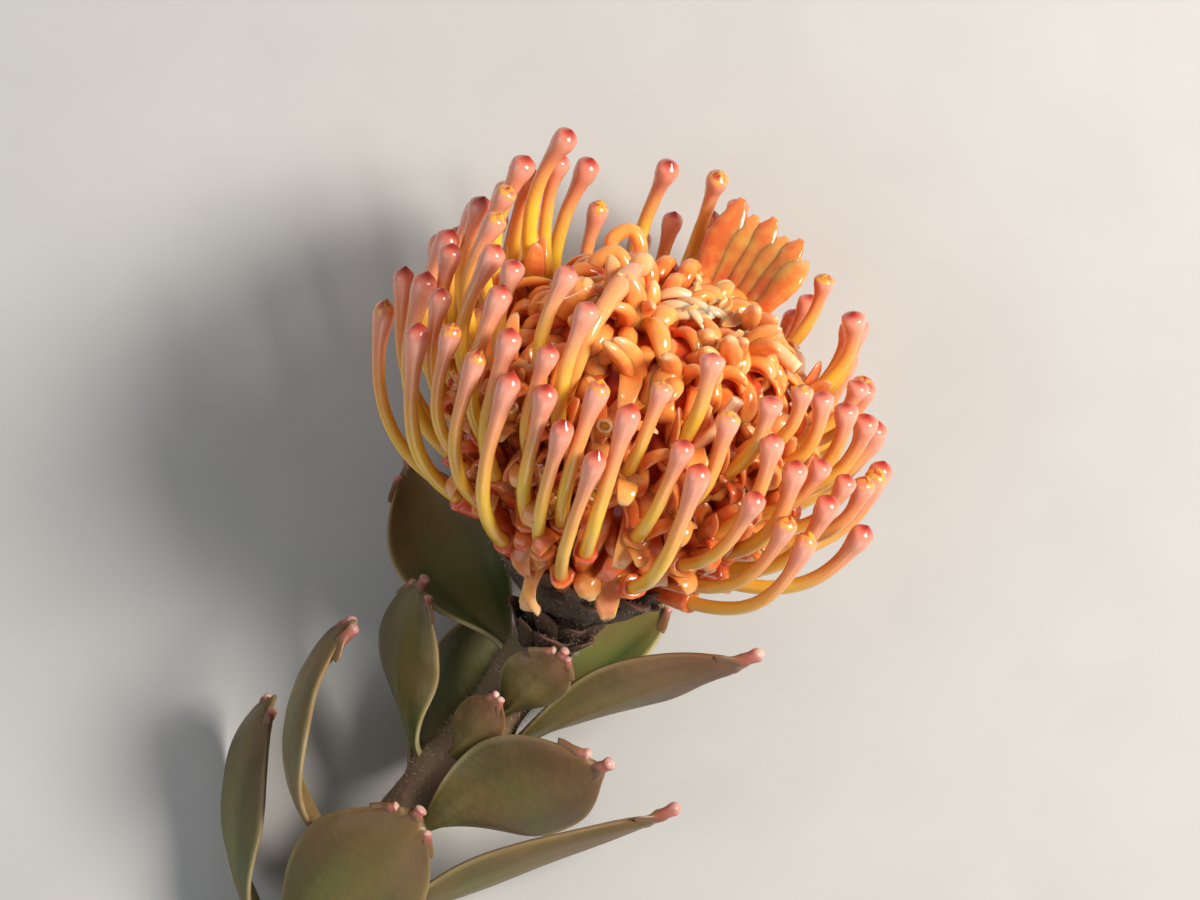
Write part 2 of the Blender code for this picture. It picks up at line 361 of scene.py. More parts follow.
@dataclass(frozen=True)
class Finish:
    """A plant tissue's surface: colours along each piece, mottling, wax and fine relief.

    Attributes:
        name: the material's name.
        ramp: the colour at each share of the way along the piece.
        attribute: the mesh attribute that runs along the piece.
        tinted: the colour that some pieces lean towards, by their "tint" attribute.
        tint_share: how far the most tinted piece leans.
        dusted: the colour of dust, where the "dust" attribute has it.
        mottle: the colour of the mottling.
        mottle_share: how strong the mottling is.
        mottle_scale: how fine the mottling is, in patches a metre.
        roughness: the surface's roughness.
        coat: how much clear wax lies on it.
        glow: how much light passes through it.
        glow_depth: how deep that light goes, in metres.
        relief: the height of the fine relief, in metres.
        relief_scale: how fine the relief is, in bumps a metre.
    """

    name: str
    ramp: tuple[tuple[float, Colour], ...]
    attribute: str = "along"
    tinted: Colour = tone(228, 125, 70)
    tint_share: float = 0.0
    dusted: Colour | None = None
    mottle: Colour = tone(200, 80, 40)
    mottle_share: float = 0.2
    mottle_scale: float = 350.0
    roughness: float = 0.34
    coat: float = 0.2
    glow: float = 0.35
    glow_depth: float = 0.0022
    relief: float = 0.00004
    relief_scale: float = 900.0

    def blend(self, graph: Graph, share: object, low: object, high: object) -> bpy.types.NodeSocket:
        """Adds a colour mix and returns its result."""
        values = {0: share, 6: low, 7: high}
        return graph.add("ShaderNodeMix", values, data_type="RGBA", clamp_factor=True).outputs[2]

    def patches(
        self, graph: Graph, where: bpy.types.NodeSocket, scale: float, limits: tuple[float, float]
    ) -> bpy.types.NodeSocket:
        """Adds a noise that is 0 below the first limit and 1 above the second, and returns it."""
        pattern = graph.add("ShaderNodeTexNoise", {"Vector": where, "Scale": scale, "Detail": 4.0})
        spread = {0: pattern.outputs[0], 1: limits[0], 2: limits[1]}
        return graph.add("ShaderNodeMapRange", spread).outputs[0]

    def colour(self, graph: Graph, where: bpy.types.NodeSocket) -> bpy.types.NodeSocket:
        """Adds the nodes for the colour.

        Args:
            graph: the material's tree.
            where: the coordinates that patterns read.

        Returns:
            The colour's socket.
        """
        along = graph.add("ShaderNodeAttribute", attribute_name=self.attribute)
        ramp = graph.add("ShaderNodeValToRGB", {0: along.outputs["Fac"]})
        stops = ramp.color_ramp.elements
        while len(stops) < len(self.ramp):
            stops.new(1.0)
        for stop, (place, colour) in zip(stops, self.ramp):
            stop.position = place
            stop.color = (*colour, 1.0)
        tint = graph.add("ShaderNodeAttribute", attribute_name="tint")
        leaning = graph.math("MULTIPLY", tint.outputs["Fac"], self.tint_share)
        colour = self.blend(graph, leaning, ramp.outputs[0], (*self.tinted, 1.0))
        mottled = graph.math(
            "MULTIPLY", self.patches(graph, where, self.mottle_scale, (0.42, 0.7)), self.mottle_share
        )
        colour = self.blend(graph, mottled, colour, (*self.mottle, 1.0))
        if self.dusted:
            dust = graph.add("ShaderNodeAttribute", attribute_name="dust")
            grains = self.patches(graph, where, 1600.0, (0.42, 0.58))
            lying = graph.math("MULTIPLY", dust.outputs["Fac"], grains)
            colour = self.blend(graph, lying, colour, (*self.dusted, 1.0))
        return colour

    def build(self) -> bpy.types.Material:
        """Makes the material."""
        made = bpy.data.materials.new(self.name)
        made.use_nodes = True
        graph = Graph(made.node_tree)
        where = graph.add("ShaderNodeTexCoord").outputs["Object"]
        fine = graph.add("ShaderNodeTexNoise", {"Vector": where, "Scale": self.relief_scale, "Detail": 5.0})
        bump = graph.add(
            "ShaderNodeBump", {"Strength": 1.0, "Distance": self.relief, "Height": fine.outputs[0]}
        )
        dull = graph.math("MULTIPLY_ADD", fine.outputs[0], 0.16, self.roughness - 0.08)
        shader = graph.add("ShaderNodeBsdfPrincipled", {
            "Base Color": self.colour(graph, where),
            "Roughness": dull,
            "IOR": 1.42,
            "Subsurface Weight": self.glow,
            "Subsurface Radius": (1.0, 0.42, 0.16),
            "Subsurface Scale": self.glow_depth,
            "Coat Weight": self.coat,
            "Coat Roughness": 0.16,
            "Normal": bump.outputs[0],
        })
        graph.add("ShaderNodeOutputMaterial", {"Surface": shader.outputs[0]})
        return made


STYLE_WAX = Finish(
    "style_wax",
    ramp=(
        (0.00, tone(190, 100, 44)), (0.07, tone(220, 146, 44)), (0.18, tone(238, 188, 56)),
        (0.46, tone(242, 200, 66)), (0.62, tone(241, 184, 84)), (0.76, tone(240, 168, 104)),
        (0.87, tone(238, 160, 124)), (0.95, tone(240, 168, 144)), (0.978, tone(230, 132, 110)),
        (0.990, tone(186, 62, 48)), (1.00, tone(146, 30, 24)),
    ),
    tinted=tone(232, 142, 84), tint_share=0.42, dusted=tone(238, 182, 44),
    mottle=tone(214, 104, 52), mottle_share=0.12, roughness=0.2, coat=0.7, glow=0.5, glow_depth=0.0014,
)
PERIANTH_WAX = Finish(
    "perianth_wax",
    ramp=(
        # Deep red at the root of each segment, sleeve and lobe, down in the hollows between them, is partly
        # the perianths' own red and partly painted shade.
        (0.0, tone(194, 46, 24)), (0.20, tone(228, 96, 42)), (0.46, tone(243, 142, 64)),
        (0.80, tone(248, 168, 94)), (1.0, tone(249, 190, 142)),
    ),
    tinted=tone(212, 56, 34), tint_share=0.85, mottle=tone(252, 184, 88), mottle_share=0.5,
    mottle_scale=420.0, roughness=0.18, coat=0.7, glow=0.6, glow_depth=0.002, relief=0.00008,
)
# The receptacle shows only in the gaps between the perianth segments: its red, darkest in the mottle, is
# partly its own colour and partly painted shade for those hollows.
CORE_WAX_AND_HOLLOW_SHADE = Finish(
    "receptacle_skin_and_hollow_shade",
    ramp=((0.0, tone(186, 44, 24)), (1.0, tone(226, 96, 44))),
    mottle=tone(150, 24, 14), mottle_share=0.45, relief=0.0003, relief_scale=500.0, glow=0.4,
)
PEARL = Finish(
    "unopened_floret_tips",
    ramp=(
        (0.0, tone(228, 138, 68)), (0.45, tone(240, 168, 98)), (0.8, tone(244, 190, 132)),
        (1.0, tone(245, 206, 162)),
    ),
    mottle=tone(242, 178, 96), mottle_share=0.5, roughness=0.22, coat=0.5, glow=0.5,
)
PALE_FLESH = Finish(
    "pale_flesh",
    ramp=(
        (0.0, tone(234, 140, 74)), (0.3, tone(240, 168, 106)), (0.6, tone(242, 192, 142)),
        (1.0, tone(244, 214, 184)),
    ),
    mottle=tone(242, 180, 124), mottle_share=0.5, roughness=0.22, coat=0.5, glow=0.6, relief=0.00003,
)
CUT_RIM = Finish(
    "snapped_style",
    ramp=(
        (0.0, tone(206, 110, 60)), (0.4, tone(232, 156, 74)), (0.66, tone(240, 190, 96)),
        (0.74, tone(248, 228, 178)),
        (0.84, tone(248, 226, 172)), (0.90, tone(214, 150, 50)), (1.0, tone(226, 176, 66)),
    ),
    mottle_share=0.1, roughness=0.3, coat=0.3, glow=0.4,
)
BRACT_SKIN = Finish(
    "bract_skin",
    ramp=((0.0, tone(54, 38, 26)), (0.6, tone(76, 54, 38)), (1.0, tone(116, 76, 60))),
    mottle=tone(98, 84, 62), mottle_share=0.5, roughness=0.7, coat=0.0, glow=0.05, relief=0.0001,
)
STEM_SKIN = Finish(
    "stem_skin",
    ramp=((0.0, tone(122, 98, 78)), (0.5, tone(134, 104, 84)), (1.0, tone(126, 96, 74))),
    mottle=tone(104, 104, 66), mottle_share=0.6, mottle_scale=160.0, roughness=0.65, coat=0.0, glow=0.08,
    relief=0.00025, relief_scale=700.0,
)
DOWN = Finish(
    "downy_hairs", ramp=((0.0, tone(170, 150, 132)), (1.0, tone(214, 200, 188))),
    mottle_share=0.0, roughness=0.6, coat=0.0, glow=0.1, relief=0.00001,
)
CUT_WOOD = Finish(
    "cut_wood",
    ramp=(
        (0.0, tone(214, 196, 150)), (0.28, tone(200, 184, 130)), (0.36, tone(176, 168, 106)),
        (0.80, tone(186, 176, 116)), (0.90, tone(122, 112, 62)), (1.0, tone(112, 84, 60)),
    ),
    attribute="out", mottle=tone(150, 130, 90), mottle_share=0.4, mottle_scale=900.0, roughness=0.7,
    coat=0.0, glow=0.1,
)
LEAF_SKIN = Finish(
    "leaf_skin",
    ramp=(
        (0.0, tone(114, 118, 60)), (0.15, tone(78, 92, 40)), (0.70, tone(82, 94, 42)),
        (0.86, tone(142, 144, 84)), (1.0, tone(184, 166, 124)),
    ),
    attribute="edge", tinted=tone(112, 72, 46), tint_share=0.85, mottle=tone(132, 96, 58),
    mottle_share=0.75, mottle_scale=70.0, roughness=0.46, coat=0.08, glow=0.12, relief=0.00012,
    relief_scale=700.0,
)
# The teeth's browns and pinks are the callus's own colour; the pale pink-white end of the ramp is a painted
# highlight on each tooth's tip.
CALLUS_AND_HIGHLIGHT = Finish(
    "leaf_tooth_callus_and_highlight",
    ramp=(
        (0.0, tone(110, 92, 52)), (0.46, tone(122, 92, 58)), (0.66, tone(148, 92, 72)),
        (0.84, tone(186, 118, 104)), (1.0, tone(218, 182, 168)),
    ),
    mottle=tone(140, 50, 48), mottle_share=0.45, mottle_scale=600.0, roughness=0.36, coat=0.2, glow=0.2,
)


# ---------------------------------------------------------------------------------------------
# The flower's shape, as the frame has it
# ---------------------------------------------------------------------------------------------


@dataclass(frozen=True)
class Lie:
    """How the flower lies: where its head meets the stem, and how it is turned from upright."""

    base_mm: tuple[float, float, float] = (1.735, 14.162, 22.819)
    turn_deg: tuple[float, float, float] = (-68.38, 0.50, 0.0)

    def matrix(self) -> Matrix:
        """Takes upright millimetres to metres in the frame."""
        move = Matrix.Translation(Vector(self.base_mm) * MM)
        turn = Euler([math.radians(angle) for angle in self.turn_deg], "XYZ").to_matrix()
        return move @ turn.to_4x4() @ Matrix.Scale(MM, 4)


@dataclass(frozen=True)
class Head:
    """The head's florets, in millimetres: where each one grows and how its style runs.

    Attributes:
        florets: how many there are, from the outermost to the innermost.
        separate: how many of the outer ones are nodes of their own in the frame.
        gaps_at: where the ring of styles parts, in radians round the head.
        mound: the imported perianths' outline, radius and height, from the crown down.
    """

    florets: int = 98
    separate: int = 43
    golden: float = math.radians(137.508)
    gaps_at: tuple[float, ...] = (math.radians(205.0), math.radians(138.0), math.radians(18.0))
    gap_push: float = math.radians(8.0)
    gap_reach: float = math.radians(14.0)
    surface_gap: float = 0.3
    mound: tuple[tuple[float, float], ...] = (
        (0.0, 45.8), (7.0, 46.4), (12.5, 45.2), (16.4, 41.4), (18.6, 35.0), (18.9, 27.0),
        (17.3, 19.0), (14.0, 12.4), (10.9, 7.6), (8.0, 3.9), (4.0, 1.7),
    )
    base_height: tuple[float, float] = (8.6, 34.0)
    launch: tuple[float, float] = (math.radians(2.0), math.radians(62.0))
    tip_radius: tuple[float, float] = (35.4, 23.5)
    tip_height: tuple[float, float] = (31.0, 53.0)
    tip_angle: tuple[float, float] = (math.radians(84.0), math.radians(104.0))
    tall_side_at: float = math.radians(245.0)
    tall_side_lift: float = 4.2
    front_at: float = math.radians(-2.0)
    front_spread: float = 1.8
    front_launch: float = math.radians(32.0)
    front_in: float = 7.5
    front_up: float = 9.5
    front_gap: float = 0.6
    snapped: tuple[int, ...] = (47, 55, 68, 71, 73, 89)
    leaning: dict[int, float] = field(
        default_factory=lambda: {13: math.radians(-3.0), 39: math.radians(-3.0)}
    )
    handle_share: float = 0.46
    style_radius: float = 1.0
    azimuth_sway: float = math.radians(1.2)
    twist_sway: float = math.radians(1.4)
    tip_angle_sway: float = math.radians(9.0)
    tip_radius_sway: float = 1.2
    tip_height_sway: float = 2.0

    def mound_radius(self, height: float) -> float:
        """The mound's radius at a height on its side."""
        for (r_high, h_high), (r_low, h_low) in zip(self.mound[1:], self.mound[2:]):
            if h_low <= height <= h_high:
                return between((r_low, r_high), (height - h_low) / (h_high - h_low))
        return self.mound[-1][0]

    def azimuth(self, number: int) -> float:
        """The angle round the head of one floret, pushed away from the gaps in the ring."""
        even = number * self.golden
        push = 0.0
        for gap in self.gaps_at:
            apart = math.remainder(even - gap, math.tau) / self.gap_reach
            push += self.gap_push * apart * math.exp(0.5 - apart**2 / 2)
        return even + push + self.azimuth_sway * sway(number, 1) + self.leaning.get(number, 0.0)

    def point(self, number: int, share: float) -> Vector:
        """A point on a floret's style.

        Args:
            number: the floret, from the outermost.
            share: how far along its curve, 0 at the mound and 1 at the tip.

        Returns:
            The point, in upright millimetres.
        """
        rank = number / (self.florets - 1)
        azimuth = self.azimuth(number)
        front = (1.0 - rank) * max(0.0, math.cos(azimuth - self.front_at)) ** self.front_spread
        height = between(self.base_height, rank)
        launch = between(self.launch, rank) + self.front_launch * front
        tip_angle = between(self.tip_angle, rank) + self.tip_angle_sway * sway(number, 2)
        out = Vector((math.cos(launch), math.sin(launch)))
        gap = self.surface_gap + self.front_gap * front
        start = Vector((self.mound_radius(height) + gap, height)) + out * self.style_radius
        lift = self.tall_side_lift * math.cos(azimuth - self.tall_side_at) + self.front_up * front
        tip = Vector((
            between(self.tip_radius, rank) + self.tip_radius_sway * sway(number, 3) - self.front_in * front,
            between(self.tip_height, rank) + self.tip_height_sway * sway(number, 4) + lift,
        ))
        handle = self.handle_share * (tip - start).length
        first = start + out * handle
        last = tip - Vector((math.cos(tip_angle), math.sin(tip_angle))) * handle
        rest = 1.0 - share
        flat = start * rest**3 + first * 3 * rest**2 * share + last * 3 * rest * share**2 + tip * share**3
        turn = azimuth + self.twist_sway * sway(number, 5) * share**2
        return around(turn) * flat.x + UP * flat.y

    def outline(self, down: float) -> Vector:
        """The mound's smooth outline, radius and height, from the crown's middle at 0 to its foot at 1."""
        spans = len(self.mound) - 1
        at = min(max(down, 0.0), 1.0) * spans
        index = min(int(at), spans - 1)
        share = at - index
        knots = [Vector(self.mound[min(spans, max(0, index + step))]) for step in (-1, 0, 1, 2)]
        if index == 0:
            knots[0] = Vector((-self.mound[1][0], self.mound[1][1]))
        before, low, high, after = knots
        return (
            low * 2 + (high - before) * share + (before * 2 - low * 5 + high * 4 - after) * share**2
            + (low * 3 - before - high * 3 + after) * share**3
        ) / 2

    def surface(self, azimuth: float, down: float, sink: float = 0.0) -> tuple[Vector, Vector, Vector]:
        """A point on the mound.

        Args:
            azimuth: the angle round the head.
            down: how far down the outline.
            sink: how far below the surface.

        Returns:
            The point, the way out of the surface, and the way along it to the crown.
        """
        step = 0.002
        run = (self.outline(down + step) - self.outline(max(0.0, down - step))).normalized()
        flat_out = Vector((-run.y, run.x))
        spot = self.outline(down) - flat_out * sink
        side = around(azimuth)
        return side * spot.x + UP * spot.y, side * flat_out.x + UP * flat_out.y, -(side * run.x + UP * run.y)

    def even_downs(self, count: int, steps: int = 400) -> list[float]:
        """Places down the outline that share the mound's surface out evenly."""
        areas = [0.0]
        for step in range(steps):
            low, high = self.outline(step / steps), self.outline((step + 1) / steps)
            areas.append(areas[-1] + (high - low).length * (low.x + high.x) / 2)
        downs = []
        step = 0
        for number in range(count):
            wanted = areas[-1] * (number + 0.5) / count
            while areas[step + 1] < wanted:
                step += 1
            downs.append((step + (wanted - areas[step]) / (areas[step + 1] - areas[step])) / steps)
        return downs


@dataclass(frozen=True)
class Stalk:
    """The stem's line, in millimetres: it leans and curves towards -X and -Y on its way down."""

    length: float = 90.0
    radius: float = 3.6
    top_swell: float = 0.25
    swell_fade: float = 6.0
    straight: float = 5.0
    top_gap: float = 0.8
    lean: tuple[float, float] = (0.32, 0.10)
    curve: tuple[float, float] = (0.0006, 0.0007)
    drop: float = 0.965

    def point(self, down: float) -> Vector:
        """The stem's middle, this many millimetres below the head."""
        leaning = down - self.straight * (1.0 - math.exp(-down / self.straight))
        aside, forward = (lean * leaning + curve * down**2 for lean, curve in zip(self.lean, self.curve))
        return Vector((-aside, -forward, -self.drop * down - self.top_gap))

    def width(self, down: float) -> float:
        """The stem's radius, which swells under the head."""
        return self.radius * (1.0 + self.top_swell * math.exp(-down / self.swell_fade))

    def upward(self, down: float) -> Vector:
        """The way up the stem."""
        return (self.point(down - 1.0) - self.point(down + 1.0)).normalized()


@dataclass(frozen=True)
class Leaf:
    """One leaf, in millimetres and degrees.

    Attributes:
        down: how far below the head it leaves the stem.
        around: the way it faces, from the front towards the right.
        spread: its angle to the stem.
        bend: how much that angle changes by the tip.
        turn: how far the blade rolls about its own length.
        brown: how brown it has turned, from 0 for green to 1.
        finger: how far its teeth reach past the blade.
        teeth: where its teeth are, across the tip.
    """

    down: float
    around: float
    length: float
    width: float
    spread: float
    bend: float
    turn: float = 0.0
    brown: float = 0.5
    finger: float = 1.0
    teeth: tuple[float, ...] = (-0.8, 0.0, 0.8)


LEAVES = (
    Leaf(down=12, around=240, length=29, width=15, spread=84, bend=-20, turn=-50, brown=0.45),
    Leaf(down=18, around=148, length=27, width=13, spread=50, bend=-8, brown=-0.3),
    Leaf(down=16, around=4, length=14, width=9, spread=26, bend=-10, brown=0.8),
    Leaf(down=22, around=80, length=36, width=13, spread=20, bend=16, turn=-40, brown=0.85, finger=3.0,
         teeth=(-0.1, 0.7)),
    Leaf(down=30, around=272, length=25, width=13, spread=60, bend=-50, turn=44, brown=0.35),
    Leaf(down=25, around=345, length=12, width=7, spread=24, bend=-8, brown=0.9, teeth=(-0.5, 0.4)),
    Leaf(down=35, around=200, length=26, width=14, spread=34, bend=-10, brown=0.2),
    Leaf(down=36, around=44, length=30, width=17, spread=30, bend=0, turn=-40, brown=0.7, finger=1.8,
         teeth=(-0.8, 0.05)),
    Leaf(down=48, around=286, length=40, width=13, spread=80, bend=-94, brown=0.4, finger=2.6,
         teeth=(-0.6, 0.6)),
    Leaf(down=60, around=88, length=52, width=12, spread=20, bend=10, turn=-30, brown=0.55, finger=3.2,
         teeth=(-0.2, 0.75)),
    Leaf(down=61, around=352, length=32, width=19, spread=28, bend=-22, brown=0.55),
    Leaf(down=64, around=262, length=35, width=17, spread=72, bend=-72, turn=34, brown=0.5,
         teeth=(-0.6, 0.5)),
    Leaf(down=72, around=72, length=28, width=13, spread=38, bend=-6, brown=0.1),
)


# ---------------------------------------------------------------------------------------------
# Geometry Nodes trees
# ---------------------------------------------------------------------------------------------


def stalk_tree(profile: Sequence[tuple[float, float]]) -> GeometryTree:
    """A tree that puts a round skin on each line of a mesh.

    Args:
        profile: the skin's radius at each share of a line, as a share of the Radius input. The line's
            points carry that share as "along", and how plump the line is as "plump".

    Returns:
        The tree.
    """
    tree = GeometryTree("stalks", {
        "Radius": ("NodeSocketFloat", 1.0),
        "Sides": ("NodeSocketInt", 12),
        "Unevenness": ("NodeSocketFloat", 0.1),
        "Fineness": ("NodeSocketFloat", 0.3),
        "Material": ("NodeSocketMaterial", None),
    })
    thickness = tree.add("ShaderNodeFloatCurve", {"Value": tree.named("along")})
    curve = thickness.mapping.curves[0]
    while len(curve.points) < len(profile):
        curve.points.new(0.5, 0.5)
    top = max(radius for _, radius in profile)
    for point, (share, radius) in zip(curve.points, profile):
        point.location = (share, radius / top)
    thickness.mapping.update()
    scale = tree.math("MULTIPLY", tree.start["Radius"], tree.math("MULTIPLY", thickness.outputs[0], top))
    scale = tree.math("MULTIPLY", scale, tree.named("plump"))
    lines = tree.add("GeometryNodeMeshToCurve", {"Mesh": tree.start["Geometry"]})
    circle = tree.add("GeometryNodeCurvePrimitiveCircle", {"Resolution": tree.start["Sides"], "Radius": 1.0})
    tube = tree.add("GeometryNodeCurveToMesh", {
        "Curve": lines.outputs[0], "Profile Curve": circle.outputs[0], "Scale": scale, "Fill Caps": True,
    })
    tree.finish(tree.roughen(tube.outputs[0]))
    return tree


def growth_tree() -> GeometryTree:
    """A tree that grows a shape at each point of a mesh.

    The points carry the way out of the surface as "face", the way up it as "lean", the shape's place
    in its collection as "kind", and its size as "size".

    Returns:
        The tree.
    """
    tree = GeometryTree("growth", {
        "Shapes": ("NodeSocketCollection", None),
        "Tumble": ("NodeSocketVector", (0.3, 0.3, 0.6)),
        "Size Spread": ("NodeSocketFloat", 0.15),
        "Unevenness": ("NodeSocketFloat", 0.5),
        "Fineness": ("NodeSocketFloat", 0.35),
        "Seed": ("NodeSocketInt", 3),
        "Material": ("NodeSocketMaterial", None),
    })
    aim = tree.add(
        "FunctionNodeAxesToRotation",
        {0: tree.named("face", "FLOAT_VECTOR"), 1: tree.named("lean", "FLOAT_VECTOR")},
        primary_axis="Z", secondary_axis="X",
    )
    least = tree.vector("SCALE", tree.start["Tumble"], -1.0)
    tumble = tree.add("FunctionNodeRandomValue", {
        "Min": least, "Max": tree.start["Tumble"], "Seed": tree.start["Seed"],
    }, data_type="FLOAT_VECTOR")
    turned = tree.add("FunctionNodeEulerToRotation", {0: tumble.outputs[0]})
    rotation = tree.add(
        "FunctionNodeRotateRotation", {0: aim.outputs[0], 1: turned.outputs[0]}, rotation_space="LOCAL"
    )
    small = tree.math("SUBTRACT", 1.0, tree.start["Size Spread"])
    large = tree.math("ADD", 1.0, tree.start["Size Spread"])
    spread = tree.add(
        "FunctionNodeRandomValue", {2: small, 3: large, "Seed": tree.start["Seed"]}, data_type="FLOAT"
    )
    size = tree.math("MULTIPLY", spread.outputs[1], tree.named("size"))
    shapes = tree.add(
        "GeometryNodeCollectionInfo",
        {"Collection": tree.start["Shapes"], "Separate Children": True, "Reset Children": True},
    )
    grown = tree.add("GeometryNodeInstanceOnPoints", {
        "Points": tree.start["Geometry"], "Instance": shapes.outputs[0], "Pick Instance": True,
        "Instance Index": tree.named("kind", "INT"), "Rotation": rotation.outputs[0], "Scale": size,
    })
    real = tree.add("GeometryNodeRealizeInstances", {0: grown.outputs[0]})
    tree.finish(tree.roughen(real.outputs[0]))
    return tree


def hair_tree() -> GeometryTree:
    """A tree that covers a surface with short fine hairs.

    Returns:
        The tree.
    """
    tree = GeometryTree("hairs", {
        "Density": ("NodeSocketFloat", 2.0),
        "Length": ("NodeSocketFloat", 0.8),
        "Thickness": ("NodeSocketFloat", 0.03),
        "Tumble": ("NodeSocketVector", (0.5, 0.5, 3.0)),
        "Seed": ("NodeSocketInt", 5),
        "Material": ("NodeSocketMaterial", None),
    })
    spots = tree.add("GeometryNodeDistributePointsOnFaces", {
        "Mesh": tree.start["Geometry"], "Density": tree.start["Density"], "Seed": tree.start["Seed"],
    })
    hair = tree.add("GeometryNodeMeshCone", {
        "Vertices": 3, "Radius Top": 0.0, "Radius Bottom": tree.start["Thickness"],
        "Depth": tree.start["Length"],
    })
    least = tree.vector("SCALE", tree.start["Tumble"], -1.0)
    tumble = tree.add("FunctionNodeRandomValue", {
        "Min": least, "Max": tree.start["Tumble"], "Seed": tree.start["Seed"],
    }, data_type="FLOAT_VECTOR")
    turned = tree.add("FunctionNodeEulerToRotation", {0: tumble.outputs[0]})
    rotation = tree.add(
        "FunctionNodeRotateRotation", {0: spots.outputs["Rotation"], 1: turned.outputs[0]},
        rotation_space="LOCAL",
    )
    length = tree.add(
        "FunctionNodeRandomValue", {2: 0.5, 3: 1.3, "Seed": tree.start["Seed"]}, data_type="FLOAT"
    )
    grown = tree.add("GeometryNodeInstanceOnPoints", {
        "Points": spots.outputs["Points"], "Instance": hair.outputs["Mesh"],
        "Rotation": rotation.outputs[0], "Scale": length.outputs[1],
    })
    tree.finish(grown.outputs[0])
    return tree


@dataclass
class Growth:
    """Where one shape grows."""

    spot: Vector
    face: Vector
    lean: Vector
    kind: int = 0
    size: float = 1.0
    tint: float = 0.0


def growth_mesh(name: str, growths: Sequence[Growth]) -> bpy.types.Mesh:
    """The points that a growth tree reads, with their attributes."""
    mesh = bpy.data.meshes.new(name + "_points")
    mesh.from_pydata([growth.spot for growth in growths], [], [])
    for label in ("face", "lean"):
        values = [part for growth in growths for part in getattr(growth, label)]
        mesh.attributes.new(label, "FLOAT_VECTOR", "POINT").data.foreach_set("vector", values)
    mesh.attributes.new("kind", "INT", "POINT").data.foreach_set("value", [g.kind for g in growths])
    for label in ("size", "tint"):
        values = [getattr(growth, label) for growth in growths]
        mesh.attributes.new(label, "FLOAT", "POINT").data.foreach_set("value", values)
    return mesh


def shape_shelf(name: str, meshes: Sequence[bpy.types.Mesh]) -> bpy.types.Collection:
    """A collection outside the scene that holds a tree's shapes in order."""
    shelf = bpy.data.collections.new(name)
    for index, mesh in enumerate(meshes):
        shelf.objects.link(bpy.data.objects.new(f"{name}_{index:02d}", mesh))
    return shelf


def clear_shelf(shelf: bpy.types.Collection) -> None:
    """Removes a shelf and what it holds."""
    for obj in list(shelf.objects):
        bpy.data.objects.remove(obj)
    bpy.data.collections.remove(shelf)


# ---------------------------------------------------------------------------------------------
# The head
# ---------------------------------------------------------------------------------------------


@dataclass
class Styles:
    """The florets' styles: slim waxy stalks, each with a club and a small nib at its tip.

    Attributes:
        profile: the radius at each share of a style, as a share of the shaft's.
        root: how far the style starts inside the mound, as a share of its length.
        dusty: how many styles in a hundred still carry pollen.
    """

    head: Head
    place: Matrix
    profile: tuple[tuple[float, float], ...] = (
        (0.0, 1.12), (0.10, 1.00), (0.30, 0.96), (0.55, 0.92), (0.70, 0.90), (0.79, 0.94), (0.85, 1.08),
        (0.895, 1.30), (0.930, 1.50), (0.955, 1.53), (0.972, 1.34), (0.983, 0.98), (0.990, 0.62),
        (0.995, 0.40), (1.0, 0.12),
    )
    root: float = -0.05
    shaft_rows: int = 22
    club_rows: int = 18
    club_from: float = 0.78
    sides: int = 14
    dusty: float = 0.16

    def shares(self) -> list[float]:
        """Where a style's rings are: closer together in the club, and most of all at its end."""
        shaft = [
            between((self.root, self.club_from), row / self.shaft_rows) for row in range(self.shaft_rows)
        ]
        club = [
            between((self.club_from, 1.0), math.sin(math.pi / 2 * row / (self.club_rows - 1)))
            for row in range(self.club_rows)
        ]
        return shaft + club

    def lines(self, name: str, numbers: Iterable[int]) -> bpy.types.Mesh:
        """The middle lines of some florets' styles, with their attributes."""
        points, edges = [], []
        marks: dict[str, list[float]] = defaultdict(list)
        shares = self.shares()
        for number in numbers:
            first = len(points)
            azimuth = self.head.azimuth(number)
            right = 0.5 + 0.5 * math.sin(azimuth)
            tint = min(1.0, max(0.0, 0.15 + 0.5 * right * right + 0.3 * sway(number, 7)))
            dusty = sway(number, 9) > 1.0 - 2.0 * self.dusty
            for share in shares:
                points.append(self.head.point(number, share))
                marks["along"].append(max(0.0, share))
                marks["plump"].append(1.0 + 0.07 * sway(number, 6))
                marks["tint"].append(tint * (1.0 - ease(0.8, 0.95, share)))
                marks["dust"].append(0.8 * ease(0.945, 0.975, share) if dusty else 0.0)
            edges += [(at, at + 1) for at in range(first, len(points) - 1)]
        mesh = bpy.data.meshes.new(name)
        mesh.from_pydata(points, edges, [])
        for mark, values in marks.items():
            mesh.attributes.new(mark, "FLOAT", "POINT").data.foreach_set("value", values)
        return mesh

    def build(self, finish: bpy.types.Material) -> list[bpy.types.Object]:
        """Makes the outer styles, which the frame holds one by one, and the inner ones."""
        tree = stalk_tree(self.profile)
        groups = {
            "outer_styles": range(self.head.separate),
            "inner_styles": [
                number for number in range(self.head.separate, self.head.florets)
                if number not in self.head.snapped
            ],
        }
        made = []
        for name, numbers in groups.items():
            made.append(tree.run(
                self.lines(name, numbers), name, self.place, Radius=self.head.style_radius, Sides=self.sides,
                Unevenness=0.22, Fineness=0.22, Material=finish,
            ))
        return made


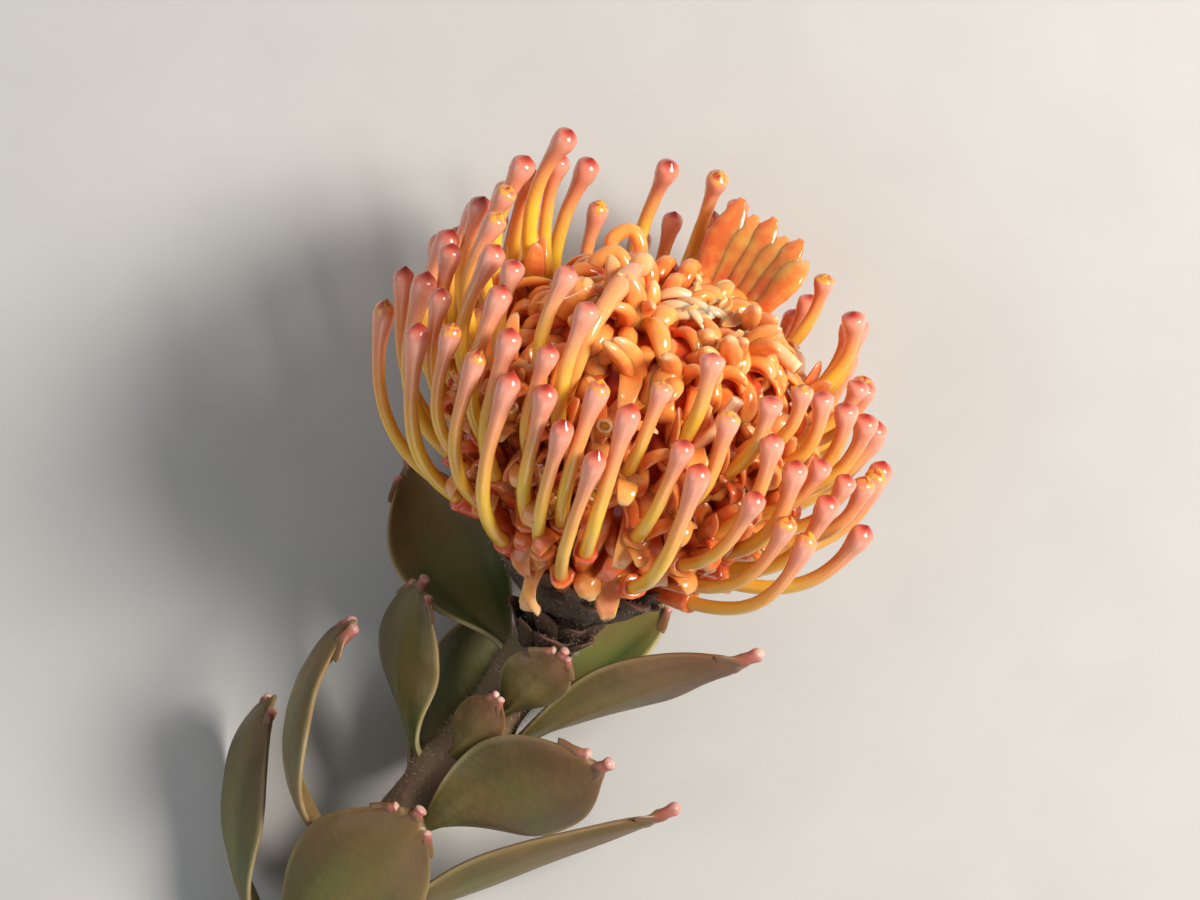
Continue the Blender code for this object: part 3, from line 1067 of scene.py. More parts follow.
@dataclass(frozen=True)
class Segment:
    """One perianth segment, in millimetres: a fleshy strap that stands up and rolls over.

    Attributes:
        roll: how far it rolls over, in degrees.
        tighten: 1 for an even roll, and more for one that is kept for the end.
        cup: how far its edges turn up, as a share of its half-width.
    """

    length: float
    roll: float
    tighten: float
    width: float
    thickness: float
    cup: float = 0.0
    rows: int = 13
    sides: int = 9

    def section(self, share: float, angle: float) -> tuple[float, float]:
        """The strap's cross-section."""
        half = self.width / 2 * rounded(share)
        right = half * math.cos(angle)
        return right, self.thickness / 2 * rounded(share) * math.sin(angle) + self.cup * right * right / half

    def mesh(self, name: str, sunk: float = 1.6) -> bpy.types.Mesh:
        """The strap's mesh, rooted below the origin: +Z is out of the surface and +X is up it."""
        path = curl(
            Vector((0.6, 0.0, -sunk)), UP, Vector((-1.0, 0.0, 0.0)), self.length, math.radians(self.roll),
            self.tighten, self.rows,
        )
        skin = Skin()
        rings = sweep(path, self.section, self.sides, Vector((1.0, 0.0, 0.0)))
        skin.loft(rings, along=[row / (self.rows - 1) for row in range(self.rows)])
        return skin.mesh(name)


class Kind(Enum):
    """The perianth segments' shapes, in the order that their shelf holds them."""

    ARCH = 0
    HOOK = 1
    BUD = 2
    ROLL = 3
    TONGUE = 4
    KNUCKLE = 5


SEGMENTS = {
    Kind.ARCH: Segment(length=9.5, roll=215, tighten=1.15, width=2.5, thickness=2.1),
    Kind.HOOK: Segment(length=10.5, roll=260, tighten=1.3, width=1.8, thickness=1.6),
    Kind.BUD: Segment(length=5.4, roll=40, tighten=1.0, width=3.0, thickness=2.7, rows=10),
    Kind.ROLL: Segment(length=12.0, roll=380, tighten=1.6, width=2.6, thickness=0.9, cup=0.22, rows=15),
    Kind.TONGUE: Segment(length=10.0, roll=110, tighten=1.2, width=3.3, thickness=0.9, cup=0.4),
    Kind.KNUCKLE: Segment(length=7.5, roll=170, tighten=1.1, width=3.1, thickness=2.2, rows=11),
}


@dataclass
class Perianths:
    """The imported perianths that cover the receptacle.

    Attributes:
        count: how many segments are packed over the mound.
        crown_down: where the crown ends, down the outline.
        lowest: where the packing stops, down the outline.
        core_sink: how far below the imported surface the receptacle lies.
    """

    head: Head
    place: Matrix
    count: int = 380
    crown_down: float = 0.27
    lowest: float = 0.86
    core_sink: float = 2.2
    core_rows: int = 60
    core_sides: int = 96

    def core(self, finish: bpy.types.Material) -> bpy.types.Object:
        """Makes the lumpy receptacle below the perianths, whose dark red is partly painted shade for the gaps
        between them.
        """
        rings, marks = [], []
        for row in range(self.core_rows):
            down = between((1.0, 0.02), row / (self.core_rows - 1))
            ring = []
            for side in range(self.core_sides):
                spot, out, _ = self.head.surface(math.tau * side / self.core_sides, down, self.core_sink)
                ring.append(spot + out * 0.7 * noise.noise(spot * 0.45))
            rings.append(ring)
            marks.append(1.0 - down)
        skin = Skin()
        skin.loft(rings, along=marks)
        return skin.piece("receptacle", self.place, finish)

    def kind(self, number: int, down: float) -> Kind:
        """The shape of one segment: knuckles and arches on the crown, and straps on the flanks."""
        draw = 0.5 + 0.5 * sway(number, 11)
        if down < self.crown_down:
            choices = (Kind.ARCH, Kind.KNUCKLE, Kind.HOOK, Kind.BUD, Kind.ARCH)
        elif down < 0.5:
            choices = (Kind.ARCH, Kind.TONGUE, Kind.KNUCKLE, Kind.ROLL, Kind.HOOK)
        elif down < 0.7:
            choices = (Kind.TONGUE, Kind.ROLL, Kind.TONGUE, Kind.HOOK, Kind.KNUCKLE)
        else:
            choices = (Kind.KNUCKLE, Kind.HOOK, Kind.BUD)
        return choices[min(len(choices) - 1, int(draw * len(choices)))]

    def packed(self, finish: bpy.types.Material) -> bpy.types.Object:
        """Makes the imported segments."""
        growths = []
        for number, down in enumerate(self.head.even_downs(self.count)):
            azimuth = number * self.head.golden
            if down > self.lowest:
                continue
            spot, out, up = self.head.surface(azimuth, down, 1.9)
            tint = ease(0.3, 0.75, down) * 0.8 + 0.25 * sway(number, 13)
            growths.append(Growth(
                spot, out, up, self.kind(number, down).value,
                (1.0 + 0.12 * sway(number, 12)) * between((1.0, 0.7), ease(0.62, self.lowest, down)),
                min(1.0, max(0.0, tint)),
            ))
        shelf = shape_shelf("segment", [SEGMENTS[kind].mesh(kind.name.lower()) for kind in Kind])
        made = growth_tree().run(
            growth_mesh("perianth_segments", growths), "perianth_segments", self.place, Shapes=shelf,
            Tumble=(0.25, 0.35, 0.7), Size_Spread=0.12, Unevenness=0.9, Fineness=0.28, Seed=11,
            Material=finish,
        )
        clear_shelf(shelf)
        return made


@dataclass
class FloretTubes:
    """The sleeve round each style's foot, and the lobes that its lip has split into."""

    head: Head
    place: Matrix
    sleeve_end: float = 0.15
    sleeve_rows: int = 9
    sides: int = 12
    lobes: int = 3
    bare_feet: int = 26
    stub_end: float = 0.26

    def sleeve(self, skin: Skin, number: int, tint: float) -> None:
        """Adds a style's sleeve, whose lip flares a little."""
        path = [
            self.head.point(number, between((-0.06, self.sleeve_end), row / (self.sleeve_rows - 1)))
            for row in range(self.sleeve_rows)
        ]
        lip = 1.6 + 0.15 * sway(number, 21)

        def section(share: float, angle: float) -> tuple[float, float]:
            """How far a point of the ring lies across and up."""
            radius = between((1.35, lip), ease(0.3, 1.0, share))
            radius *= 1.0 + 0.10 * share * math.sin(3 * angle + number)
            return radius * math.cos(angle), radius * math.sin(angle)

        rings = sweep(path, section, self.sides)
        middle = path[-1]
        rings.append([middle.lerp(point, 0.72) for point in rings[-1]])
        alongs = [0.05 + 0.7 * row / self.sleeve_rows for row in range(self.sleeve_rows)] + [0.3]
        skin.loft(rings, along=alongs, tint=tint)

    def lobe(self, skin: Skin, number: int, which: int, tint: float) -> None:
        """Adds one lobe: it leans away from the style, and its tip rolls over."""
        trait = 10 * which
        rank = number / self.head.florets
        start = self.head.point(number, 0.05)
        ahead = (self.head.point(number, 0.16) - start).normalized()
        climb = (UP * 0.8 + ahead * 0.6).normalized()
        level = around(self.head.azimuth(number) + math.pi / 2)
        turned = between((-115.0, 115.0), which / (self.lobes - 1))
        angle = math.radians(turned + 22 * sway(number, 24 + trait))
        crosswise = ahead.cross(level).normalized()
        if crosswise.z > 0:
            crosswise = -crosswise
        aside = (level * math.sin(angle) + crosswise * math.cos(angle)).normalized()
        droop = max(0.0, math.cos(angle))
        shape = Segment(
            length=(
                (8.2 - 2.4 * droop + 1.6 * sway(number, 23 + trait))
                * between((0.55, 1.0), ease(0.04, 0.34, rank))
            ),
            roll=between((70, 205), droop) + 50 * sway(number, 25 + trait), tighten=1.5,
            width=2.5 + 0.5 * sway(number, 26 + trait), thickness=1.0, cup=0.22, rows=14, sides=10,
        )
        out = (ahead * between((0.55, 1.0), droop) + climb * 0.45 * (1.0 - droop)).normalized()
        bend = (aside - out * aside.dot(out)).normalized()
        path = curl(
            start + aside * 1.15, out, bend, shape.length, math.radians(shape.roll), shape.tighten, shape.rows
        )
        rings = sweep(path, shape.section, shape.sides, -bend)
        skin.loft(rings, along=[0.1 + 0.9 * row / (shape.rows - 1) for row in range(shape.rows)], tint=tint)

    def build(self, finish: bpy.types.Material) -> bpy.types.Object:
        """Makes the sleeves and lobes of all the florets."""
        skin = Skin()
        for number in range(self.head.florets):
            tint = min(1.0, max(0.0, 0.35 + 0.5 * (1 - number / self.head.florets) + 0.35 * sway(number, 26)))
            self.sleeve(skin, number, tint)
            for which in range(self.lobes):
                if number >= self.bare_feet:
                    self.lobe(skin, number, which, min(1.0, max(0.0, tint + 0.25 * sway(number, 27 + which))))
        return skin.piece("floret_tubes", self.place, finish)

    def snapped_styles(self, finish: bpy.types.Material) -> bpy.types.Object:
        """Makes the stubs of the styles that have snapped off, each with a pale rim round its core."""
        skin = Skin()
        for number in self.head.snapped:
            end = self.stub_end + 0.08 * sway(number, 51)
            shares = [between((-0.04, end), row / 9) for row in range(10)]
            path = [self.head.point(number, share) for share in shares]
            rings = sweep(path, round_section(lambda share: 1.02), 16)
            ahead = (path[-1] - path[-2]).normalized()
            alongs = [0.5 * row / 9 for row in range(10)]
            for inset, depth, along in ((1.0, 0.10, 0.72), (0.90, 0.20, 0.80), (0.66, 0.16, 0.84),
                                        (0.58, -0.25, 0.92), (0.50, -0.15, 1.0), (0.2, 0.0, 1.0)):
                rings.append([
                    path[-1].lerp(point, inset) + ahead * depth for point in rings[9]
                ])
                alongs.append(along)
            skin.loft(rings, along=alongs, tint=0.0)
        return skin.piece("snapped_styles", self.place, finish)


@dataclass(frozen=True)
class Line:
    """A soft piece that follows a few points, in millimetres.

    Attributes:
        knots: the points.
        widths: its radius at even shares of its length.
        flat: how thick it is, as a share of its width.
        alongs: the share of its finish's colour ramp at its two ends.
    """

    knots: tuple[tuple[float, float, float], ...]
    widths: tuple[float, ...]
    flat: float = 1.0
    alongs: tuple[float, float] = (0.0, 1.0)
    ruffle: float = 0.0
    rows: int = 26
    sides: int = 14

    def path(self) -> list[Vector]:
        """Points on a smooth line through the knots."""
        knots = [Vector(knot) for knot in self.knots]
        knots = [knots[0] * 2 - knots[1], *knots, knots[-1] * 2 - knots[-2]]
        spans = len(knots) - 3
        points = []
        for row in range(self.rows):
            at = spans * row / (self.rows - 1)
            index = min(int(at), spans - 1)
            share = at - index
            before, low, high, after = knots[index:index + 4]
            points.append((
                low * 2 + (high - before) * share + (before * 2 - low * 5 + high * 4 - after) * share**2
                + (low * 3 - before - high * 3 + after) * share**3
            ) / 2)
        return points

    def radius(self, share: float) -> float:
        """Its radius at this share of its length."""
        at = share * (len(self.widths) - 1)
        index = min(int(at), len(self.widths) - 2)
        return between(self.widths[index:index + 2], ease(0.0, 1.0, at - index))

    def add(self, skin: Skin, tint: float = 0.0) -> None:
        """Adds it to a skin."""
        def section(share: float, angle: float) -> tuple[float, float]:
            """How far a point of the ring lies across and up."""
            wide = self.radius(share)
            frill = self.ruffle * share**2 * math.sin(3 * angle + 14 * share)
            return wide * math.cos(angle), wide * self.flat * math.sin(angle) + frill

        alongs = [between(self.alongs, row / (self.rows - 1)) for row in range(self.rows)]
        skin.loft(sweep(self.path(), section, self.sides), along=alongs, tint=tint)


FALLEN_STYLE = Line(
    knots=(
        (-9.0, -16.2, 36.5), (-8.9, -16.6, 41.8), (-8.5, -14.2, 46.4), (-7.4, -9.0, 49.0), (-6.4, -5.2, 49.9),
        (-5.8, -2.8, 50.0),
    ),
    widths=(0.95, 1.0, 1.0, 1.05, 1.2, 1.4, 1.45, 1.3, 1.0), alongs=(0.58, 0.95), rows=38,
)
FALLEN_CAP = Line(
    knots=((-6.0, -3.7, 50.0), (-5.4, -1.4, 50.2), (-4.8, 0.6, 49.9)),
    widths=(0.9, 1.3, 1.52, 1.55, 1.45, 1.1, 0.25), alongs=(0.1, 0.75), rows=18,
)
CUT_LENGTHS = (
    Line(knots=((9.5, 2.0, 44.0), (13.5, 0.0, 44.6), (17.8, -2.0, 43.6)),
         widths=(0.95, 1.0, 0.98, 0.98, 1.02, 0.9), alongs=(0.2, 0.78)),
    Line(knots=((7.0, -15.2, 34.0), (9.6, -16.8, 38.0), (11.6, -15.6, 43.6)),
         widths=(1.3, 1.25, 1.15, 1.15, 1.25, 1.2), flat=0.7, alongs=(0.15, 0.85)),
)
CROWN_LOOPS = (
    Line(
        knots=(
            (-6.9, 10.2, 44.2), (-6.3, 10.6, 46.6), (-8.2, 11.2, 48.3), (-10.1, 10.6, 46.6),
            (-9.6, 10.0, 44.0),
        ),
        widths=(0.9, 1.0, 0.95, 1.0, 0.9), alongs=(0.5, 0.8),
    ),
    Line(
        knots=(
            (-7.5, 4.0, 43.2), (-6.9, 4.6, 45.7), (-9.1, 5.2, 47.4), (-11.2, 4.4, 45.5), (-10.7, 3.8, 43.0),
        ),
        widths=(0.9, 1.05, 1.0, 1.05, 0.9), alongs=(0.5, 0.85),
    ),
    Line(knots=((-12.8, -6.0, 42.5), (-12.0, -6.4, 45.4), (-10.9, -6.8, 47.2), (-10.4, -7.0, 47.8)),
         widths=(1.9, 2.1, 1.9, 1.3, 0.4), alongs=(0.4, 0.95)),
)
BACK_FAN = tuple(
    Line(
        knots=tuple(
            (reach * math.sin(math.radians(azimuth)), -reach * math.cos(math.radians(azimuth)), height)
            for reach, height in ((14.8, 41.0), (17.6, 45.0), (20.2, 48.6), (22.4, 51.2 + lift))
        ),
    widths=(1.2, 1.6, 2.0, 2.5, 2.7, 2.2, 1.5, 0.5), flat=0.38, alongs=(0.1, 0.8),
    )
    for azimuth, lift in (
        (138.0, -1.6), (143.5, 0.6), (149.5, -0.4), (156.0, 1.2), (162.5, 0.2), (169.0, 1.6),
    )
)
BOTTOM_STRAP = Line(
    knots=((-4.8, -14.4, 13.2), (-5.6, -15.8, 10.4), (-5.4, -15.4, 7.0), (-4.6, -14.2, 4.4)),
    widths=(1.2, 1.15, 1.1, 1.35, 1.7), flat=0.4, alongs=(0.35, 1.0), ruffle=0.35,
)
BOTTOM_LOBE = Line(
    knots=((0.4, -13.6, 12.6), (1.4, -16.0, 11.6), (2.6, -16.9, 10.0)),
    widths=(1.5, 1.8, 1.9, 1.6, 0.5), alongs=(0.3, 1.0),
)


@dataclass
class Crown:
    """What stands on the crown: fleshy loops and fingers, pale tubes, torn membranes and fallen styles."""

    head: Head
    place: Matrix
    tubes: int = 6
    pearls: int = 16
    fingers: int = 26
    flaps: int = 5

    def loops(self, finish: bpy.types.Material) -> bpy.types.Object:
        """Makes the big loops at the back rim, the fingers at the front one, and what hangs at the bottom."""
        skin = Skin()
        for line in CROWN_LOOPS:
            line.add(skin, tint=0.05)
        for line in (BOTTOM_STRAP, BOTTOM_LOBE):
            line.add(skin, tint=0.0)
        for number, line in enumerate(BACK_FAN):
            line.add(skin, tint=0.25 + 0.35 * (number % 2))
        for number in range(self.fingers):
            azimuth = math.radians(between((-60.0, 96.0), (number * 0.618) % 1.0))
            down = between((0.13, 0.30), (number * 0.381 + 0.3) % 1.0)
            start, out, up = self.head.surface(azimuth, down, 1.6)
            side = up.cross(out)
            lean = out * 0.9 + up * (0.5 + 0.5 * sway(number, 62)) + side * 0.5 * sway(number, 63)
            lean.normalize()
            fall = -up + side * 0.8 * sway(number, 67)
            bend = (fall - lean * fall.dot(lean)).normalized()
            path = curl(
                start, lean, bend, 6.4 + 1.8 * sway(number, 64),
                math.radians(105 + 65 * sway(number, 65)), 1.1, 14,
            )
            wide = 1.25 + 0.35 * sway(number, 66)
            rings = sweep(path, lambda share, angle: (
                wide * rounded(share) * math.cos(angle), 0.7 * wide * rounded(share) * math.sin(angle)), 12)
            tint = 0.1 + 0.2 * sway(number, 68) ** 2
            skin.loft(rings, along=[0.3 + 0.7 * row / 13 for row in range(14)], tint=tint)
        return skin.piece("crown_loops", self.place, finish)

    def fallen_styles(self, finish: bpy.types.Material) -> bpy.types.Object:
        """Makes the style that has fallen over the crown."""
        skin = Skin()
        FALLEN_STYLE.add(skin, tint=0.5)
        return skin.piece("fallen_style", self.place, finish)

    def pale_pieces(self, finish: bpy.types.Material) -> bpy.types.Object:
        """Makes the pale tubes at the very middle, the fallen style's cap and the cut lengths."""
        skin = Skin()
        FALLEN_CAP.add(skin)
        for line in CUT_LENGTHS:
            line.add(skin)
        for number in range(self.tubes):
            azimuth = number * self.head.golden + 0.6
            start = around(azimuth) * (0.6 + 2.6 * math.sqrt(number / self.tubes)) + UP * 45.0
            side = around(math.radians(50) + 0.9 * sway(number, 31))
            path = curl(
                start, (UP * 0.75 + side * 0.6).normalized(), (side * 0.8 - UP * 0.6).normalized(),
                6.4 + 1.2 * sway(number, 32), math.radians(88), 1.0, 14,
            )
            wide = 0.85 + 0.12 * sway(number, 33)
            rings = sweep(path, lambda share, angle: (
                wide * rounded(share) * math.cos(angle), 0.75 * wide * rounded(share) * math.sin(angle)), 12)
            skin.loft(rings, along=[0.35 + 0.65 * row / 13 for row in range(14)], tint=0.0)
        return skin.piece("crown_tubes", self.place, finish)

    def membranes(self, finish: bpy.types.Material) -> bpy.types.Object:
        """Makes the torn crumpled membranes that lie between the lobes, and one stray hair."""
        skin = Skin()
        for number in range(self.flaps):
            azimuth = math.radians(between((20.0, 150.0), (number * 0.618) % 1.0))
            middle = around(azimuth) * between((3.0, 12.5), (number * 0.381) % 1.0) + UP * 46.6
            side = around(azimuth + 1.1 * sway(number, 71))
            ahead = (around(azimuth + 1.6) * 0.7 + UP * 0.55).normalized()
            path = curl(middle - side * 1.3 - UP * 0.6, side, ahead, 3.6, math.radians(125), 1.0, 12)

            def section(share: float, angle: float) -> tuple[float, float]:
                """How far a point of the ring lies across and up."""
                half = 0.85 * rounded(share) * (1.0 + 0.15 * math.sin(11 * share + number))
                crumple = 0.28 * math.sin(2.6 * math.cos(angle) + 5.0 * share + number)
                return half * math.cos(angle), 0.16 * math.sin(angle) + crumple

            skin.loft(sweep(path, section, 18), along=[0.4 * row / 11 for row in range(12)], tint=0.0)
        Line(
            knots=((-16.5, -10.5, 44.6), (-14.5, -11.0, 45.8), (-12.6, -9.6, 46.6), (-10.6, -8.4, 48.4)),
            widths=(0.09, 0.08, 0.07, 0.04), sides=6,
        ).add(skin)
        Line(
            knots=((-2.6, -16.2, 18.4), (-2.2, -17.4, 19.0), (-1.0, -18.0, 19.8), (0.2, -17.6, 20.4)),
            widths=(0.9, 1.1, 1.0, 0.6), flat=0.45, ruffle=0.3, alongs=(0.6, 1.0),
        ).add(skin)
        return skin.piece("torn_membranes", self.place, finish)

    def unopened_tips(self, finish: bpy.types.Material) -> bpy.types.Object:
        """Makes the cream tips of the florets that haven't opened."""
        growths = []
        for number in range(self.pearls):
            azimuth = math.radians(between((55.0, 175.0), (number * 0.618) % 1.0))
            reach = between((3.5, 12.0), math.sqrt((number + 0.5) / self.pearls))
            spot = around(azimuth) * reach + UP * (46.0 - 0.01 * reach**2)
            growths.append(Growth(spot, UP, around(azimuth), 0, 0.62 + 0.2 * sway(number, 41)))
        pearl = Segment(length=3.6, roll=60, tighten=1.0, width=2.2, thickness=2.0, rows=10)
        shelf = shape_shelf("tip", [pearl.mesh("tip", sunk=1.2)])
        made = growth_tree().run(
            growth_mesh("unopened_tips", growths), "unopened_tips", self.place, Shapes=shelf,
            Tumble=(0.6, 0.6, 3.0), Size_Spread=0.25, Unevenness=0.9, Fineness=0.3, Seed=21, Material=finish,
        )
        clear_shelf(shelf)
        return made


# ---------------------------------------------------------------------------------------------
# Bracts, stem and leaves
# ---------------------------------------------------------------------------------------------


@dataclass
class Bracts:
    """The involucre: a shallow cup under the head, covered in rows of small downy bracts."""

    head: Head
    place: Matrix
    cup: tuple[tuple[float, float], ...] = (
        (4.1, 1.3), (8.6, 3.5), (11.9, 7.3), (12.9, 7.0), (9.6, 2.4), (5.2, 0.0),
    )
    rows: tuple[tuple[float, float, int], ...] = (
        (4.7, -6.8, 7), (5.0, -4.0, 8), (5.4, -1.4, 9), (6.8, 0.6, 11), (8.6, 1.9, 14), (10.6, 3.8, 17),
        (12.4, 6.0, 20),
    )
    upright_below: float = 0.0
    sides: int = 64

    def base(self, finish: bpy.types.Material) -> bpy.types.Object:
        """Makes the cup."""
        skin = Skin()
        rings = []
        for radius, height in [(0.5, 1.3), *self.cup, (0.5, 0.0)]:
            ring = [
                around(-math.tau * side / self.sides) * radius + UP * height for side in range(self.sides)
            ]
            rings.append(ring)
        skin.loft(rings, along=0.2, tint=0.0)
        return skin.piece("bract_base", self.place, finish)

    def scales(self, finish: bpy.types.Material) -> bpy.types.Object:
        """Makes the bracts, each overlapping the next row's."""
        growths = []
        for level, (radius, height, count) in enumerate(self.rows):
            for number in range(count):
                azimuth = math.tau * (number + 0.5 * (level % 2) + 0.12 * sway(number, level)) / count
                upright = height < self.upright_below
                slope = 0.12 if upright else 0.66
                out = (around(azimuth) - UP * slope).normalized()
                lean = (around(azimuth) * (slope + 0.22 * upright) + UP).normalized()
                middle = Stalk().point(-height) if upright else Vector()
                spot = around(azimuth) * radius + Vector((middle.x, middle.y, height))
                growths.append(Growth(spot, lean, -out, 0, 1.0 + 0.1 * sway(number, level + 3)))
        scale = Segment(
            length=6.4, roll=28, tighten=1.6, width=4.6, thickness=1.0, cup=0.28, rows=10, sides=10
        )
        shelf = shape_shelf("scale", [scale.mesh("scale", sunk=1.8)])
        made = growth_tree().run(
            growth_mesh("involucral_bracts", growths), "involucral_bracts", self.place, Shapes=shelf,
            Tumble=(0.15, 0.2, 0.2), Size_Spread=0.1, Unevenness=0.5, Fineness=0.4, Seed=31, Material=finish,
        )
        clear_shelf(shelf)
        return made


@dataclass
class Stem:
    """The downy stem, with a cushion under each leaf and a clean cut at its end."""

    stalk: Stalk
    place: Matrix
    rows: int = 110
    sides: int = 32
    cushion: float = 1.1
    inside: float = 2.6

    def radius(self, down: float, azimuth: float) -> float:
        """How far out the skin is, with the leaves' cushions and some unevenness."""
        width = self.stalk.width(max(0.0, down))
        swell = 0.0
        for leaf in LEAVES:
            apart = math.remainder(azimuth - math.radians(leaf.around), math.tau)
            swell += self.cushion * math.exp(-((down - leaf.down) / 3.0) ** 2 - (apart / 0.62) ** 2)
        grain = noise.noise(Vector((math.sin(azimuth) * 1.6, math.cos(azimuth) * 1.6, down * 0.16)))
        return width + swell + 0.35 * grain

    def skin(self, finish: bpy.types.Material) -> bpy.types.Object:
        """Makes the stem from its cut end up into the involucre."""
        rings, marks = [], []
        for row in range(self.rows):
            down = between((self.stalk.length, -self.inside), row / (self.rows - 1))
            centre, ahead = self.stalk.point(max(0.0, down)), self.stalk.upward(max(0.5, down))
            centre = centre + ahead * max(0.0, -down)
            ring = []
            for side in range(self.sides):
                azimuth = math.tau * side / self.sides
                aim = around(azimuth)
                out = (aim - ahead * aim.dot(ahead)).normalized()
                ring.append(centre + out * self.radius(down, azimuth))
            rings.append(ring)
            marks.append(row / (self.rows - 1))
        made = Skin()
        made.loft(rings, along=marks, tint=0.0)
        return made.piece("stem_skin", self.place, finish)

    def cut(self, finish: bpy.types.Material) -> bpy.types.Object:
        """Makes the cut face, pale at the pith and darker towards the bark."""
        end, ahead = self.stalk.point(self.stalk.length), self.stalk.upward(self.stalk.length)
        radius = self.stalk.width(self.stalk.length)
        outs = ((0.15, 0.02), (0.3, 0.02), (0.55, 0.0), (0.8, 0.0), (0.93, 0.05), (0.96, 0.5), (0.9, 1.2))
        rings, marks = [], []
        for share, depth in outs:
            ring = []
            for side in range(self.sides):
                azimuth = math.tau * side / self.sides
                aim = around(azimuth)
                out = (aim - ahead * aim.dot(ahead)).normalized()
                ring.append(end + ahead * (depth - 0.08) + out * radius * share)
            rings.append(ring)
            marks.append(share)
        made = Skin()
        made.loft(rings, along=0.5, out=marks)
        return made.piece("stem_cut", self.place, finish)

    def hairs(self, source: bpy.types.Object, name: str, finish: bpy.types.Material, density: float,
              length: float) -> bpy.types.Object:
        """Makes short down over a piece.

        Args:
            source: the piece that the down grows on.
            name: the new piece's name.
            finish: its material.
            density: how many hairs grow on a square millimetre.
            length: how long they are, in millimetres.

        Returns:
            The new piece.
        """
        ground = source.data.copy()
        ground.transform(self.place.inverted())
        return hair_tree().run(
            ground, name, self.place, Density=density, Length=length, Thickness=0.035,
            Tumble=(0.6, 0.6, 3.0), Seed=5, Material=finish,
        )


